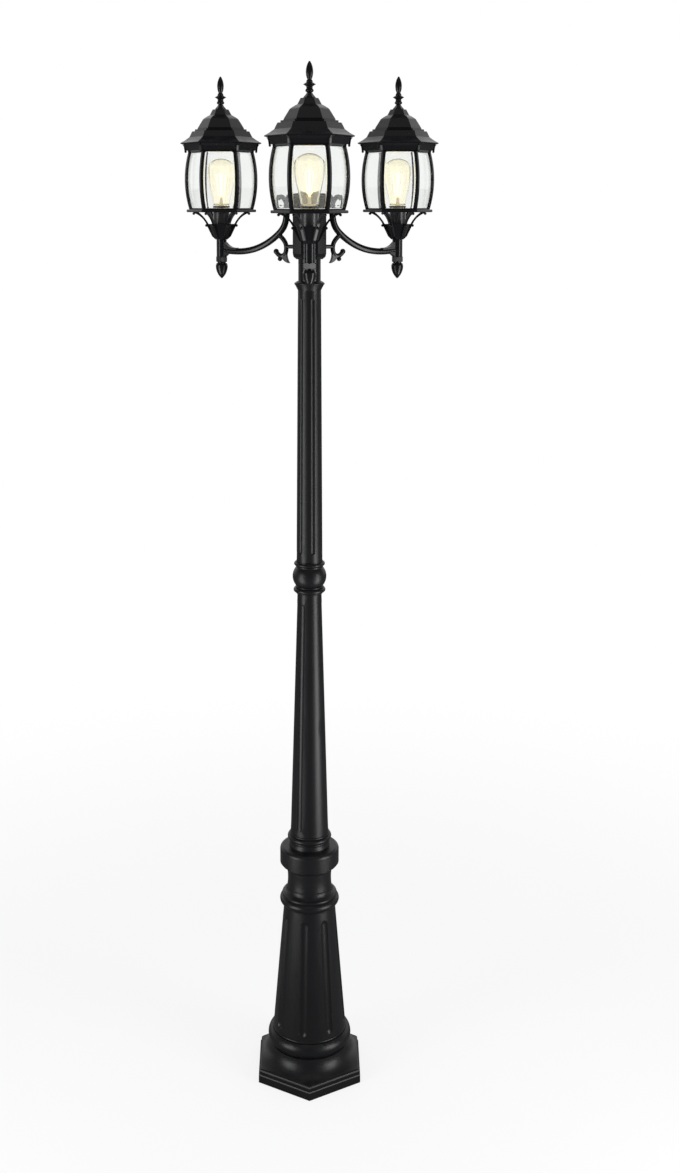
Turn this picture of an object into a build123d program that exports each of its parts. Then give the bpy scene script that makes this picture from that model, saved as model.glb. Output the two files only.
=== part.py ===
from build123d import *
import os
from math import cos, hypot, radians, sin, sqrt, tan

# Triple head lamp post. Millimetres, Z up. The origin is on the post's axis at ground level.
# One lantern stands towards -Y and the other two at 30 and 150 degrees, all at the same height.
# "radius" of a six-sided form is its corner radius, and "flat" is half its width across flats.

# ------------------------------------------------------------------ overall sizes
HEAD_WIDTH = 573.0  # across the two rear roofs
PEDESTAL_H = 535.9  # ground to the pedestal's top face
LOWER_POLE_H = 586.1
KNUCKLE_H = 74.0
UPPER_POLE_H = 618.8
BASE_ACROSS_FLATS = 230.1
HEADINGS = {"front": -90, "right": 30, "left": 150}

# ------------------------------------------------------------------ clearances and walls
RUNNING_GAP = 0.3  # between curved faces of separate pieces
THREAD_GAP = 0.15
FLAT_GAP = 0.4

# ------------------------------------------------------------------ pedestal
FOOT_BAND_H = 19.0
FOOT_MOULD_H = 11.0
FOOT_MOULD_SET = 3.6
FOOT_SLOPE_H = 38.0
FOOT_SLOPE_TOP_R = 88.0
FOOT_LIP_H = 1.0  # upright edge under the slope, at the corners
FOOT_WALL = 13.0
FOOT_CAVITY_H = 24.0
TORUS_R = 94.5
TORUS_NECK_R = 85.0
TORUS_H = 34.0
PILLAR_BEAD_H = 6.0
PILLAR_BEAD_PROUD = 2.4
PILLAR_BOTTOM_R = 82.3
PILLAR_TOP_R = 58.0
UPPER_STEP_H = 4.0
UPPER_TORUS_H = 25.0
UPPER_TORUS_R = 67.0
UPPER_TORUS_NECK_R = 60.5
COVE_H = 68.0
COVE_R = 49.0
COVE_BOW = 1.2  # larger at the cove's ends than halfway
COVE_TURN_H = 16.0  # quarter rounds at its ends
COLLAR_H = 41.9
COLLAR_R = 66.5
COLLAR_LIP_R = 63.5
COLLAR_BAND_H = 30.0
COLLAR_TOP_R = 58.0
PEDESTAL_WALL = 6.0
GROOVE_COUNT = 8
GROOVE_PHASE = -101.3
GROOVE_WIDTH = 20.0
GROOVE_DEPTH = 3.8
GROOVE_END = 17.0  # groove tip to the pillar's end

# ------------------------------------------------------------------ ground plate and tie rod
PLATE_T = 5.0
ANCHOR_COUNT = 3
ANCHOR_CIRCLE_R = 75.0
ANCHOR_HOLE_R = 5.5
CABLE_HOLE_R = 12.5
CABLE_HOLE_OFFSET = 40.0
PLATE_BOSS_R = 14.0
PLATE_BOSS_H = 22.0
ROD_R = 6.0
ROD_LIFT = 2.0  # rod's lower end above the plate's top face
ROD_NUT_H = 10.0
ROD_NUT_R = 10.97
ROD_WASHER_R = 11.4
ROD_WASHER_T = 2.0
ROD_PROUD = 4.0

# ------------------------------------------------------------------ pole
LOWER_POLE_BOTTOM_R = 42.6
LOWER_POLE_TOP_R = 26.8
UPPER_POLE_BOTTOM_R = 28.6
UPPER_POLE_TOP_R = 25.2
POLE_WALL = 4.6
POLE_SEAT_R = 45.6
POLE_FOOT_NECK_R = 43.4
POLE_FOOT_RING_R = 49.4
POLE_FOOT_FLARE_H = 12.0
POLE_FOOT_RING_H = 11.0
POLE_BEAD_H = 5.0
POLE_BEAD_PROUD = 1.6
POLE_TOP_RING_R = 33.0
POLE_TOP_RING_H = 8.0
POLE_TOP_CONE_H = 12.0
SPIGOT_R = 20.3
SPIGOT_H = 25.0
BELOW_SPIGOT_H = 40.0  # straight bore under the knuckle's spigot
SPIGOT_WALL = 3.6
FOOT_SPIGOT_R = 38.0
FOOT_SPIGOT_H = 40.0
FLUTE_COUNT = 6
UPPER_FLUTE_PHASE = -74.0
LOWER_FLUTE_PHASE = -63.0
UPPER_FLUTE_WIDTH = 11.4
LOWER_FLUTE_WIDTH = 14.0
FLUTE_DEPTH = 2.3
UPPER_FLUTE_TOP = 37.0  # flute tip below the pole's top face
UPPER_FLUTE_BOTTOM = 18.5
LOWER_FLUTE_TOP = 20.0
LOWER_FLUTE_BOTTOM = 45.0

# ------------------------------------------------------------------ knuckle
KNUCKLE_RING_R = 34.2
KNUCKLE_RING_H = 9.5
KNUCKLE_BEAD_H = 4.5
KNUCKLE_BEAD_R = 30.6
KNUCKLE_BALL_R = 37.4
KNUCKLE_WAIST_R = 28.4

# ------------------------------------------------------------------ hub
HUB_NECK_R = 24.4
HUB_NECK_H = 47.0
HUB_CHAMFER_H = 5.0
HUB_R = 36.2
HUB_LOW_R = 34.4
HUB_BODY_H = 121.7
HUB_WALL = 4.0
HUB_FLOOR_T = 8.0
HUB_BORE_R = 16.8
HUB_CAP_R = 41.0
HUB_CAP_H = 14.6
HUB_CAP_SPIGOT_H = 6.0
WIRE_HOLE_R = 2.2
WIRE_HOLE_OFFSET = 14.1
TERMINAL_SIZE = (22.0, 9.0, 14.0)

# ------------------------------------------------------------------ arm
ARM_R = 7.1
WIREWAY_R = 2.6
RISER_R = 57.5  # riser's distance from the post's axis
ARM_DROP = 3.4  # lowest point below the stem joint
ARM_JOINT_H = 64.0  # above the lantern's lowest tip
ARM_LOW_AT = 0.72  # of the way from riser to stem
KNEE_H = 142.0
RISER_TOP_H = 160.0
WEB_H = 31.0
WEB_REACH = 30.0
WEB_T = 12.0
LOWER_PEG_H = 73.2
UPPER_PEG_H = 150.0
PEG_R = 4.4
PEG_FLARE_R = 7.6
PEG_FLARE_L = 7.0
UPPER_PEG_R = 6.4
SPIGOT_THREAD_R = 5.0
SPIGOT_THREAD_L = 5.6
LOCK_NUT_T = 3.6
LOCK_NUT_R = 8.6
SCREW_R = 2.5
SCREW_DEPTH = 12.0
SCREW_HEAD_R = 4.3
SCREW_HEAD_T = 3.0
SCROLL_R = 5.1
SCROLL_BALL_R = 6.0
LEAF_T = 8.0

# ------------------------------------------------------------------ lantern stack, bottom up
ACORN_H = 33.5
ACORN_R = 13.4
ACORN_NECK_R = 9.4
ACORN_NECK_H = 3.0
NUT_COLLAR_H = 12.5
NUT_COLLAR_R = 13.8
STEM_R = 11.4
STEM_H = 37.5
CUP_CHAMFER_H = 7.0
CUP_H = 34.5
CUP_TOP_R = 29.0
CUP_LOW_R = 18.6
CUP_SEAT_R = 12.9
NIPPLE_R = 5.0
NIPPLE_BORE_R = 3.3
NIPPLE_IN_ACORN = 16.0
NIPPLE_IN_HOLDER = 8.0
STRUT_SPAN_H = 26.0  # cup top to the tray's underside
STRUT_T = 5.4
STRUT_KNOB_INSET = 15.9  # from the tray's corner
STRUT_FOOT_L = 4.6
STRUT_KNOB_SIZE = 3.0
CUP_KNOB_R = 33.6
CUP_RIB_PROUD = 2.4
TRAY_T = 6.0
TRAY_MARGIN = 6.0  # outside the cage's corner
TRAY_EDGE = 1.4
CAGE_BOW_H = 130.5
CAGE_END_R = 71.5
CAGE_MID_R = 80.9
CAGE_T = 4.5
RIB_FACE = 6.2
CAGE_SILL_H = 3.0
WINDOW_TOP_H = 125.5
WINDOW_CORNER = 4.0
TOP_RING_H = 12.0
TOP_RING_BELOW = 4.0
TOP_RING_PROUD = 1.9
TOP_RING_W = 11.4
PANE_T = 3.0
PANE_MITRE = 0.9

# ------------------------------------------------------------------ roof, from its seat on the cage
ROOF_SKIRT_H = 9.0  # cornice bottom below the seat
ROOF_WALL = 3.0
SKIRT_WALL = 3.8  # round the cage's ring, at the corners
CORNICE_FLARE = 2.4
CORNICE_COVE = 4.0
RIM_OVERHANG = 5.9
CORNICE_H = 15.0
RIM_T = 2.0
EAVE_INSET = 9.4
EAVE_H = 5.0
SLOPE_INSET = 10.7
SLOPE_H = 7.6
BELL_INSET = 6.4
BELL_H = 12.6
LEDGE_W = 6.1
RISER_H = 4.4
KERB_W = 6.0
KERB_H = 2.6
TIER_INSET = 12.1
TIER_H = 19.4
SHOULDER_INSET = 9.2
SHOULDER_H = 6.2
CROWN_LEDGE_W = 6.1
CROWN_LEDGE_H = 3.2
CROWN_INSET = 6.3
CROWN_H = 12.0
TOOTH_T = 4.0
TOOTH_H = 4.8  # below the cornice
ROOF_SCREW_R = 2.0
ROOF_SCREW_H = 4.2  # below the seat
ROOF_SCREW_HEADINGS = (120, 240)

# ------------------------------------------------------------------ roof finial
FINIAL_FOOT_R = 12.4
FINIAL_PLINTH_H = 2.0
FINIAL_FLARE_H = 8.4
FINIAL_NECK_R = 4.9
FINIAL_RING_R = 8.3
FINIAL_RING_H = 7.4
FINIAL_STEM_R = 6.4
FINIAL_STEM_H = 4.4
FINIAL_DISC_R = 12.3
FINIAL_DISC_H = 8.6
FINIAL_BEAD_R = 6.2
FINIAL_BEAD_H = 5.0
FINIAL_WAIST_R = 4.2
FINIAL_SPIKE_R = 7.3
FINIAL_SPIKE_H = 35.7
FINIAL_TIP_R = 1.3
FINIAL_STUD_R = 3.0
FINIAL_STUD_L = 15.0

# ------------------------------------------------------------------ lampholder and bulb
HOLDER_WALL = 3.1
HOLDER_H = 40.5
HOLDER_FLOOR_T = 10.0
SHELL_T = 0.9
SHELL_LIP = 1.6
SHELL_LIP_T = 1.0
SHELL_H = 24.0
THREAD_PITCH = 3.63
THREAD_DEPTH = 0.8
THREAD_FIT = 0.6
CONTACT_R = 6.0
CONTACT_T = 2.6
CAP_WALL = 0.95
CAP_CONE_H = 4.0
CAP_H = 25.0
TIP_R = 4.8
TIP_H = 2.2
BULB_NECK_R = 11.2
BULB_NECK_L = 9.0
BULB_FOOT_R = 17.9
BULB_FOOT_CORNER = 3.0
BULB_GLASS_H = 102.6
BULB_R = 29.7
BULB_WIDEST = 0.76  # of the glass height
BULB_WALL = 1.1
BULB_GAP = 0.9  # glass above the lampholder
STEM_GLASS_R = 3.0
STEM_GLASS_H = 20.0
FILAMENT_R = 1.0
FILAMENT_COUNT = 4
FILAMENT_LOW_R = 6.0
FILAMENT_TOP_R = 11.0
FILAMENT_LOW_H = 24.0
FILAMENT_TOP_H = 72.0
SUPPORT_R = 0.7

# ------------------------------------------------------------------ worked out from the above
COS30 = cos(radians(30))
MID_ARC = 1 - sqrt(0.5)  # a quarter round's middle, as a share of its run
TRAY_R = CAGE_END_R + TRAY_MARGIN
STRUT_KNOB_R = TRAY_R - STRUT_KNOB_INSET
STRUT_FOOT_R = STRUT_KNOB_R - STRUT_FOOT_L
TOP_RING_R = CAGE_END_R + TOP_RING_PROUD
TOP_RING_INNER_R = TOP_RING_R - TOP_RING_W
CORNICE_LOW_R = TOP_RING_R + FLAT_GAP + SKIRT_WALL
CORNICE_MID_R = CORNICE_LOW_R + CORNICE_FLARE
CORNICE_TOP_R = CORNICE_MID_R + CORNICE_COVE
ROOF_RIM_R = CORNICE_TOP_R + RIM_OVERHANG
REACH = (HEAD_WIDTH - 2 * ROOF_RIM_R) / (2 * COS30)  # post axis to lantern axis
FOOT_R = BASE_ACROSS_FLATS / 2 / COS30
KNUCKLE_Z = PEDESTAL_H + LOWER_POLE_H
UPPER_POLE_Z = KNUCKLE_Z + KNUCKLE_H
HEAD_Z = UPPER_POLE_Z + UPPER_POLE_H
HUB_BODY_Z = HEAD_Z + HUB_NECK_H + HUB_CHAMFER_H
HUB_TOP_Z = HUB_BODY_Z + HUB_BODY_H
HUB_FLAT = HUB_R * COS30
HUB_INNER_FLAT = HUB_FLAT - HUB_WALL
HUB_FLOOR_Z = HUB_BODY_Z + HUB_FLOOR_T
# Heights in a lantern, above its lowest tip.
COLLAR_NUT_Z = ACORN_H + ACORN_NECK_H
STEM_Z = COLLAR_NUT_Z + NUT_COLLAR_H
CUP_Z = STEM_Z + STEM_H
CUP_TOP_Z = CUP_Z + CUP_H
TRAY_Z = CUP_TOP_Z + STRUT_SPAN_H
CAGE_Z = TRAY_Z + TRAY_T
BOW_TOP_Z = CAGE_Z + CAGE_BOW_H
SEAT_Z = BOW_TOP_Z - TOP_RING_BELOW + TOP_RING_H
HOLDER_TOP_Z = CUP_TOP_Z + HOLDER_H
CONTACT_Z = CUP_TOP_Z + HOLDER_FLOOR_T
TIP_Z = CONTACT_Z + CONTACT_T + RUNNING_GAP
CAP_Z = TIP_Z + TIP_H + RUNNING_GAP
GLASS_Z = HOLDER_TOP_Z + BULB_GAP
CAGE_INNER_END = CAGE_END_R * COS30 - CAGE_T
CAGE_INNER_MID = CAGE_MID_R * COS30 - CAGE_T
# Radii of bulb cap, screw shell and lampholder, from the bulb's neck outwards.
CAP_BORE_R = BULB_NECK_R + THREAD_GAP
CAP_ROOT_R = CAP_BORE_R + CAP_WALL
CAP_R = CAP_ROOT_R + THREAD_DEPTH
SHELL_BORE_R = CAP_R + THREAD_FIT + THREAD_DEPTH / 2
SHELL_R = SHELL_BORE_R + SHELL_T
SHELL_LIP_R = SHELL_R + SHELL_LIP
HOLDER_CAVITY_R = SHELL_R + RUNNING_GAP
HOLDER_R = HOLDER_CAVITY_R + HOLDER_WALL


# ------------------------------------------------------------------ shape helpers
def turned(start, *moves):
    """Solid of revolution. A move of two numbers is a line to (radius, height), and one of four
    is an arc through the first pair to the second."""
    here = start
    edges = []
    for move in moves + (start,):
        end = move[-2:]
        if len(move) == 4:
            edges.append(ThreePointArc((here[0], 0, here[1]), (move[0], 0, move[1]), (end[0], 0, end[1])))
        elif hypot(end[0] - here[0], end[1] - here[1]) > 1e-6:
            edges.append(Line((here[0], 0, here[1]), (end[0], 0, end[1])))
        here = end
    return revolve(Face(Wire(edges)), Axis.Z)


def bulge(radius, bottom, top, proud):
    """Arc move that swells from (radius, bottom) to (radius, top)."""
    return (radius + proud, (bottom + top) / 2, radius, top)


def hollow_round(radius, height, end_radius, end_height):
    """Arc move of a quarter round cut in, level where it starts and upright at its end."""
    mid_r = end_radius + MID_ARC * (radius - end_radius)
    mid_z = height + MID_ARC * (end_height - height)
    return (mid_r, mid_z, end_radius, end_height)


def full_round(radius, height, end_radius, end_height):
    """Arc move of a quarter round that swells out, upright where it starts and level at its end."""
    mid_r = radius + MID_ARC * (end_radius - radius)
    mid_z = end_height + MID_ARC * (height - end_height)
    return (mid_r, mid_z, end_radius, end_height)


def tube(outer, inner, bottom, top):
    return turned((inner, bottom), (outer, bottom), (outer, top), (inner, top))


def disc(radius, bottom, top):
    return Pos(0, 0, (bottom + top) / 2) * Cylinder(radius, top - bottom)


def bar(start, end, radius):
    """Round bar between two points."""
    axis = Vector(*end) - Vector(*start)
    return Solid.make_cylinder(radius, axis.length, Plane(origin=start, z_dir=axis))


def capsule(start, end, radius):
    ends = [Pos(*point) * Sphere(radius) for point in (start, end)]
    return Part() + bar(start, end, radius) + ends


def ball(radius, x, z):
    return Pos(x, 0, z) * Sphere(radius)


def hexagon(radius, height, turn=30):
    """Corners of a level hexagon."""
    angles = [radians(turn + 60 * k) for k in range(6)]
    return [Vector(radius * cos(a), radius * sin(a), height) for a in angles]


def hex_stack(*levels, turn=30):
    """Six-sided solid through levels of (corner radius, height), with plane faces."""
    rings = [hexagon(radius, height, turn) for radius, height in levels]
    faces = [Face(Wire.make_polygon(rings[0])), Face(Wire.make_polygon(rings[-1]))]
    for low, high in zip(rings, rings[1:]):
        for k in range(6):
            corners = [low[k], low[k - 5], high[k - 5], high[k]]
            faces.append(Face(Wire.make_polygon(corners)))
    solid = Solid(Shell(faces))
    return Part() + (solid if solid.volume > 0 else -solid)


def around(shape, count, phase=0):
    return [Rot(0, 0, phase + 360 / count * k) * shape for k in range(count)]


def plate(outline, thickness):
    """Upright plate, centred on the XZ plane, from edges in that plane."""
    return extrude(Face(Wire(outline)), thickness / 2, dir=(0, 1, 0), both=True)


def swept_rod(points, radius):
    """Round rod along a smooth curve through points of (distance from the post, height)."""
    path = Spline(*[(x, 0, z) for x, z in points])
    section = Plane(origin=path @ 0, z_dir=path % 0) * Circle(radius)
    return sweep(section, path=path)


def bow_at(mid, end, bottom, top, height):
    """Half width of a bowed side at a height, where it is end at bottom and top, and mid halfway."""
    rise = mid - end
    half = (top - bottom) / 2
    radius = (half * half + rise * rise) / (2 * rise)
    return mid - radius + sqrt(radius * radius - (height - (bottom + top) / 2) ** 2)


def bowed_prism(mid, end, bottom, top):
    """Hexagonal barrel whose six sides are flat in plan and bowed in height."""
    middle = (bottom + top) / 2
    outline = [
        Line((-end, 0, bottom), (end, 0, bottom)),
        ThreePointArc((end, 0, bottom), (mid, 0, middle), (end, 0, top)),
        Line((end, 0, top), (-end, 0, top)),
        ThreePointArc((-end, 0, top), (-mid, 0, middle), (-end, 0, bottom)),
    ]
    slab = plate(outline, 4 * mid)
    return slab & Rot(0, 0, 60) * slab & Rot(0, 0, 120) * slab


def side_outline(half_end, half_mid, bow_bottom, bow_top, bottom, top, corner=0.0):
    """Outline, in a side's own plane, of a window or pane between bowed uprights."""
    def half(height):
        return bow_at(half_mid, half_end, bow_bottom, bow_top, height)

    middle = (bottom + top) / 2
    low, high = half(bottom), half(top)
    edges = [
        Line((0, -low, bottom), (0, low, bottom)),
        ThreePointArc((0, low, bottom), (0, half(middle), middle), (0, high, top)),
        Line((0, high, top), (0, -high, top)),
        ThreePointArc((0, -high, top), (0, -half(middle), middle), (0, -low, bottom)),
    ]
    face = Face(Wire(edges))
    if corner:
        face = face.fillet_2d(corner, face.vertices().group_by(Axis.Z)[-1])
    return face


def fluted(body, count, phase, width, depth, low, high):
    """Cuts upright grooves with round ends. low and high are (surface radius, height)."""
    cutter_r = (width * width / 4 + depth * depth) / (2 * depth)
    offset = cutter_r - depth
    lean = (high[0] - low[0]) / (high[1] - low[1])
    inset = sqrt(cutter_r * cutter_r - offset * offset)
    start = (low[0] + lean * inset + offset, 0, low[1] + inset)
    end = (high[0] - lean * inset + offset, 0, high[1] - inset)
    return body - around(capsule(start, end, cutter_r), count, phase)


def along_arm(distance, height):
    """Distance and height in an arm's plane, as a point."""
    return (distance, 0, height)


# ------------------------------------------------------------------ post
def pedestal():
    band_top = FOOT_BAND_H
    mould_top = band_top + FOOT_MOULD_H
    slope_top = mould_top + FOOT_SLOPE_H
    torus_top = slope_top + TORUS_H
    pillar_z = torus_top + PILLAR_BEAD_H
    cove_z = PEDESTAL_H - COLLAR_H - COVE_H
    upper_torus_z = cove_z - UPPER_TORUS_H
    pillar_top = upper_torus_z - UPPER_STEP_H
    collar_z = PEDESTAL_H - COLLAR_H
    shoulder_z = collar_z + 4 + COLLAR_BAND_H
    mould_r = FOOT_R - FOOT_MOULD_SET
    slope_r = mould_r - 3
    lip_z = mould_top + FOOT_LIP_H
    lip_r = slope_r + 2
    cove_end_r = COVE_R + COVE_BOW
    cove_mid = hollow_round(COLLAR_LIP_R, collar_z, cove_end_r, collar_z - COVE_TURN_H)
    torus_mid = upper_torus_z + UPPER_TORUS_H * 0.36
    torus_end = upper_torus_z + UPPER_TORUS_H * 0.72
    foot = hex_stack(
        (FOOT_R, 0),
        (FOOT_R, band_top - 2),
        (FOOT_R - 1.2, band_top),
        (mould_r + 0.8, band_top),
        (mould_r + 0.8, mould_top - 4),
        (mould_r - 0.6, mould_top - 1),
        (slope_r, mould_top),
        turn=30,
    )
    # a round flare, cut off by the foot's six sides
    flare = turned(
        (0, mould_top),
        (lip_r, mould_top),
        (lip_r, lip_z),
        hollow_round(lip_r, lip_z, FOOT_SLOPE_TOP_R, slope_top),
        (0, slope_top),
    )
    flare = hex_stack((slope_r, mould_top), (slope_r, slope_top), turn=30) & flare
    column = turned(
        (0, mould_top),
        (TORUS_NECK_R, mould_top),
        (TORUS_NECK_R, slope_top),
        (TORUS_R, (slope_top + torus_top) / 2, TORUS_NECK_R, torus_top),
        (PILLAR_BOTTOM_R + 0.6, torus_top),
        bulge(PILLAR_BOTTOM_R, torus_top, pillar_z, PILLAR_BEAD_PROUD),
        (PILLAR_TOP_R, pillar_top),
        (UPPER_TORUS_NECK_R - 1.5, pillar_top + 1.5),
        (UPPER_TORUS_NECK_R - 1.5, upper_torus_z),
        (UPPER_TORUS_NECK_R, upper_torus_z),
        (UPPER_TORUS_R, torus_mid, UPPER_TORUS_NECK_R, torus_end),
        bulge(UPPER_TORUS_NECK_R, torus_end, cove_z, 1.6),
        hollow_round(UPPER_TORUS_NECK_R, cove_z, cove_end_r, cove_z + COVE_TURN_H),
        (COVE_R, (cove_z + collar_z) / 2, cove_end_r, collar_z - COVE_TURN_H),
        (cove_mid[0], cove_mid[1], COLLAR_LIP_R, collar_z),
        (COLLAR_LIP_R, collar_z + 2),
        (COLLAR_R, collar_z + 4),
        (COLLAR_R, shoulder_z),
        full_round(COLLAR_R, shoulder_z, COLLAR_TOP_R, PEDESTAL_H),
        (0, PEDESTAL_H),
    )
    bore_r = FOOT_SPIGOT_R + RUNNING_GAP
    bore_z = PEDESTAL_H - FOOT_SPIGOT_H - 2
    hollow = turned(
        (0, -1),
        (TORUS_NECK_R - PEDESTAL_WALL - 2, -1),
        (TORUS_NECK_R - PEDESTAL_WALL - 2, slope_top),
        (PILLAR_BOTTOM_R - PEDESTAL_WALL, torus_top),
        (PILLAR_TOP_R - PEDESTAL_WALL - 2, pillar_top),
        (COVE_R - PEDESTAL_WALL, cove_z),
        (COVE_R - PEDESTAL_WALL, bore_z - 8),
        (bore_r - 4, bore_z),
        (bore_r, bore_z),
        (bore_r, PEDESTAL_H + 1),
        (0, PEDESTAL_H + 1),
    )
    cavity = hex_stack((FOOT_R - FOOT_WALL, -1), (FOOT_R - FOOT_WALL, FOOT_CAVITY_H), turn=30)
    body = foot + flare + column - hollow - cavity
    slope = (PILLAR_TOP_R - PILLAR_BOTTOM_R) / (pillar_top - pillar_z)
    low_z = pillar_z + GROOVE_END * 0.6
    high_z = pillar_top - GROOVE_END
    low = (PILLAR_BOTTOM_R + slope * (low_z - pillar_z), low_z)
    high = (PILLAR_BOTTOM_R + slope * (high_z - pillar_z), high_z)
    return fluted(body, GROOVE_COUNT, GROOVE_PHASE, GROOVE_WIDTH, GROOVE_DEPTH, low, high)


def anchor_plate():
    edge_r = FOOT_R - FOOT_WALL - FLAT_GAP
    body = hex_stack((edge_r, 0), (edge_r, PLATE_T), turn=30)
    body += disc(PLATE_BOSS_R, PLATE_T, PLATE_T + PLATE_BOSS_H)
    body -= disc(ROD_R + THREAD_GAP, PLATE_T + ROD_LIFT - RUNNING_GAP, PLATE_T + PLATE_BOSS_H + 1)
    hole = Pos(ANCHOR_CIRCLE_R, 0, PLATE_T / 2) * Cylinder(ANCHOR_HOLE_R, 2 * PLATE_T)
    body -= around(hole, ANCHOR_COUNT, 90)
    return body - Pos(0, CABLE_HOLE_OFFSET, PLATE_T / 2) * Cylinder(CABLE_HOLE_R, 2 * PLATE_T)


def tie_rod():
    nut_top = HUB_FLOOR_Z + ROD_WASHER_T + ROD_NUT_H
    return disc(ROD_R, PLATE_T + ROD_LIFT, nut_top + ROD_PROUD)


def tie_rod_nut():
    """Washer and hexagonal nut at the top of the tie rod."""
    hole_r = ROD_R + THREAD_GAP
    washer_top = HUB_FLOOR_Z + ROD_WASHER_T
    nut = hex_stack((ROD_NUT_R, washer_top), (ROD_NUT_R, washer_top + ROD_NUT_H), turn=0)
    nut -= disc(hole_r, washer_top - 1, washer_top + ROD_NUT_H + 1)
    return [tube(ROD_WASHER_R, hole_r, HUB_FLOOR_Z, washer_top), nut]


def lower_pole():
    base = PEDESTAL_H
    top = base + LOWER_POLE_H
    neck_z = base + POLE_FOOT_FLARE_H
    ring_z = neck_z + POLE_BEAD_H
    ring_top = ring_z + POLE_FOOT_RING_H
    shaft_z = ring_top + POLE_BEAD_H
    lean = (LOWER_POLE_TOP_R - LOWER_POLE_BOTTOM_R) / (top - shaft_z)
    outside = turned(
        (0, base),
        (POLE_SEAT_R, base),
        (POLE_SEAT_R, base + 3),
        (POLE_FOOT_NECK_R, neck_z - 2),
        (POLE_FOOT_NECK_R, neck_z),
        bulge(POLE_FOOT_NECK_R, neck_z, ring_z, POLE_BEAD_PROUD),
        (POLE_FOOT_RING_R, (ring_z + ring_top) / 2, POLE_FOOT_NECK_R, ring_top),
        bulge(POLE_FOOT_NECK_R, ring_top, shaft_z, POLE_BEAD_PROUD),
        (LOWER_POLE_BOTTOM_R, shaft_z),
        (LOWER_POLE_TOP_R, top),
        (0, top),
    )
    outside += disc(FOOT_SPIGOT_R, base - FOOT_SPIGOT_H, base)
    bore_top_r = SPIGOT_R + RUNNING_GAP
    bore = turned(
        (0, base - FOOT_SPIGOT_H - 1),
        (FOOT_SPIGOT_R - POLE_WALL, base - FOOT_SPIGOT_H - 1),
        (FOOT_SPIGOT_R - POLE_WALL, base),
        (LOWER_POLE_BOTTOM_R - 2 * POLE_WALL, shaft_z),
        (bore_top_r, top - SPIGOT_H - BELOW_SPIGOT_H),
        (bore_top_r, top + 1),
        (0, top + 1),
    )
    low_z = base + LOWER_FLUTE_BOTTOM
    high_z = top - LOWER_FLUTE_TOP
    low = (LOWER_POLE_BOTTOM_R + lean * (low_z - shaft_z), low_z)
    high = (LOWER_POLE_BOTTOM_R + lean * (high_z - shaft_z), high_z)
    phase = LOWER_FLUTE_PHASE
    return fluted(outside - bore, FLUTE_COUNT, phase, LOWER_FLUTE_WIDTH, FLUTE_DEPTH, low, high)


def knuckle():
    bottom = KNUCKLE_Z
    top = bottom + KNUCKLE_H
    low_ring = bottom + KNUCKLE_BEAD_H
    low_bead = low_ring + KNUCKLE_RING_H
    ball_z = low_bead + KNUCKLE_BEAD_H
    high_bead = top - KNUCKLE_RING_H - KNUCKLE_BEAD_H
    high_ring = top - KNUCKLE_RING_H
    mid_ring = (low_ring + low_bead) / 2
    body = turned(
        (0, bottom),
        (LOWER_POLE_TOP_R + 0.8, bottom),
        bulge(KNUCKLE_WAIST_R, bottom, low_ring, 1.2),
        (KNUCKLE_RING_R + 1.2, mid_ring, KNUCKLE_WAIST_R + 1, low_bead),
        bulge(KNUCKLE_BEAD_R - 1, low_bead, ball_z, 1.4),
        (KNUCKLE_BALL_R, (ball_z + high_bead) / 2, KNUCKLE_BEAD_R - 1, high_bead),
        bulge(KNUCKLE_BEAD_R - 1.6, high_bead, high_ring, 1.2),
        bulge(KNUCKLE_WAIST_R + 1, high_ring, high_ring + KNUCKLE_RING_H * 0.76, KNUCKLE_RING_R - KNUCKLE_WAIST_R - 1),
        (UPPER_POLE_BOTTOM_R + 0.9, top),
        (0, top),
    )
    body += disc(SPIGOT_R, bottom - SPIGOT_H, top + SPIGOT_H)
    return body - disc(SPIGOT_R - SPIGOT_WALL, bottom - SPIGOT_H - 1, top + SPIGOT_H + 1)


def upper_pole():
    bottom = UPPER_POLE_Z
    top = HEAD_Z
    ring_z = top - POLE_TOP_RING_H
    cone_z = ring_z - POLE_TOP_CONE_H
    lean = (UPPER_POLE_TOP_R - UPPER_POLE_BOTTOM_R) / (cone_z - bottom)
    bore_r = SPIGOT_R + RUNNING_GAP
    body = turned(
        (bore_r, bottom),
        (UPPER_POLE_BOTTOM_R, bottom),
        (UPPER_POLE_TOP_R, cone_z),
        (POLE_TOP_RING_R - 4.4, ring_z - POLE_TOP_CONE_H * 0.42, POLE_TOP_RING_R - 1.6, ring_z),
        bulge(POLE_TOP_RING_R - 1.6, ring_z, ring_z + POLE_TOP_RING_H * 0.6, 1.6),
        (HUB_NECK_R + 2, top),
        (bore_r, top),
    )
    low_z = bottom + UPPER_FLUTE_BOTTOM
    high_z = top - UPPER_FLUTE_TOP
    low = (UPPER_POLE_BOTTOM_R + lean * (low_z - bottom), low_z)
    high = (UPPER_POLE_BOTTOM_R + lean * (high_z - bottom), high_z)
    return fluted(body, FLUTE_COUNT, UPPER_FLUTE_PHASE, UPPER_FLUTE_WIDTH, FLUTE_DEPTH, low, high)


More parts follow.
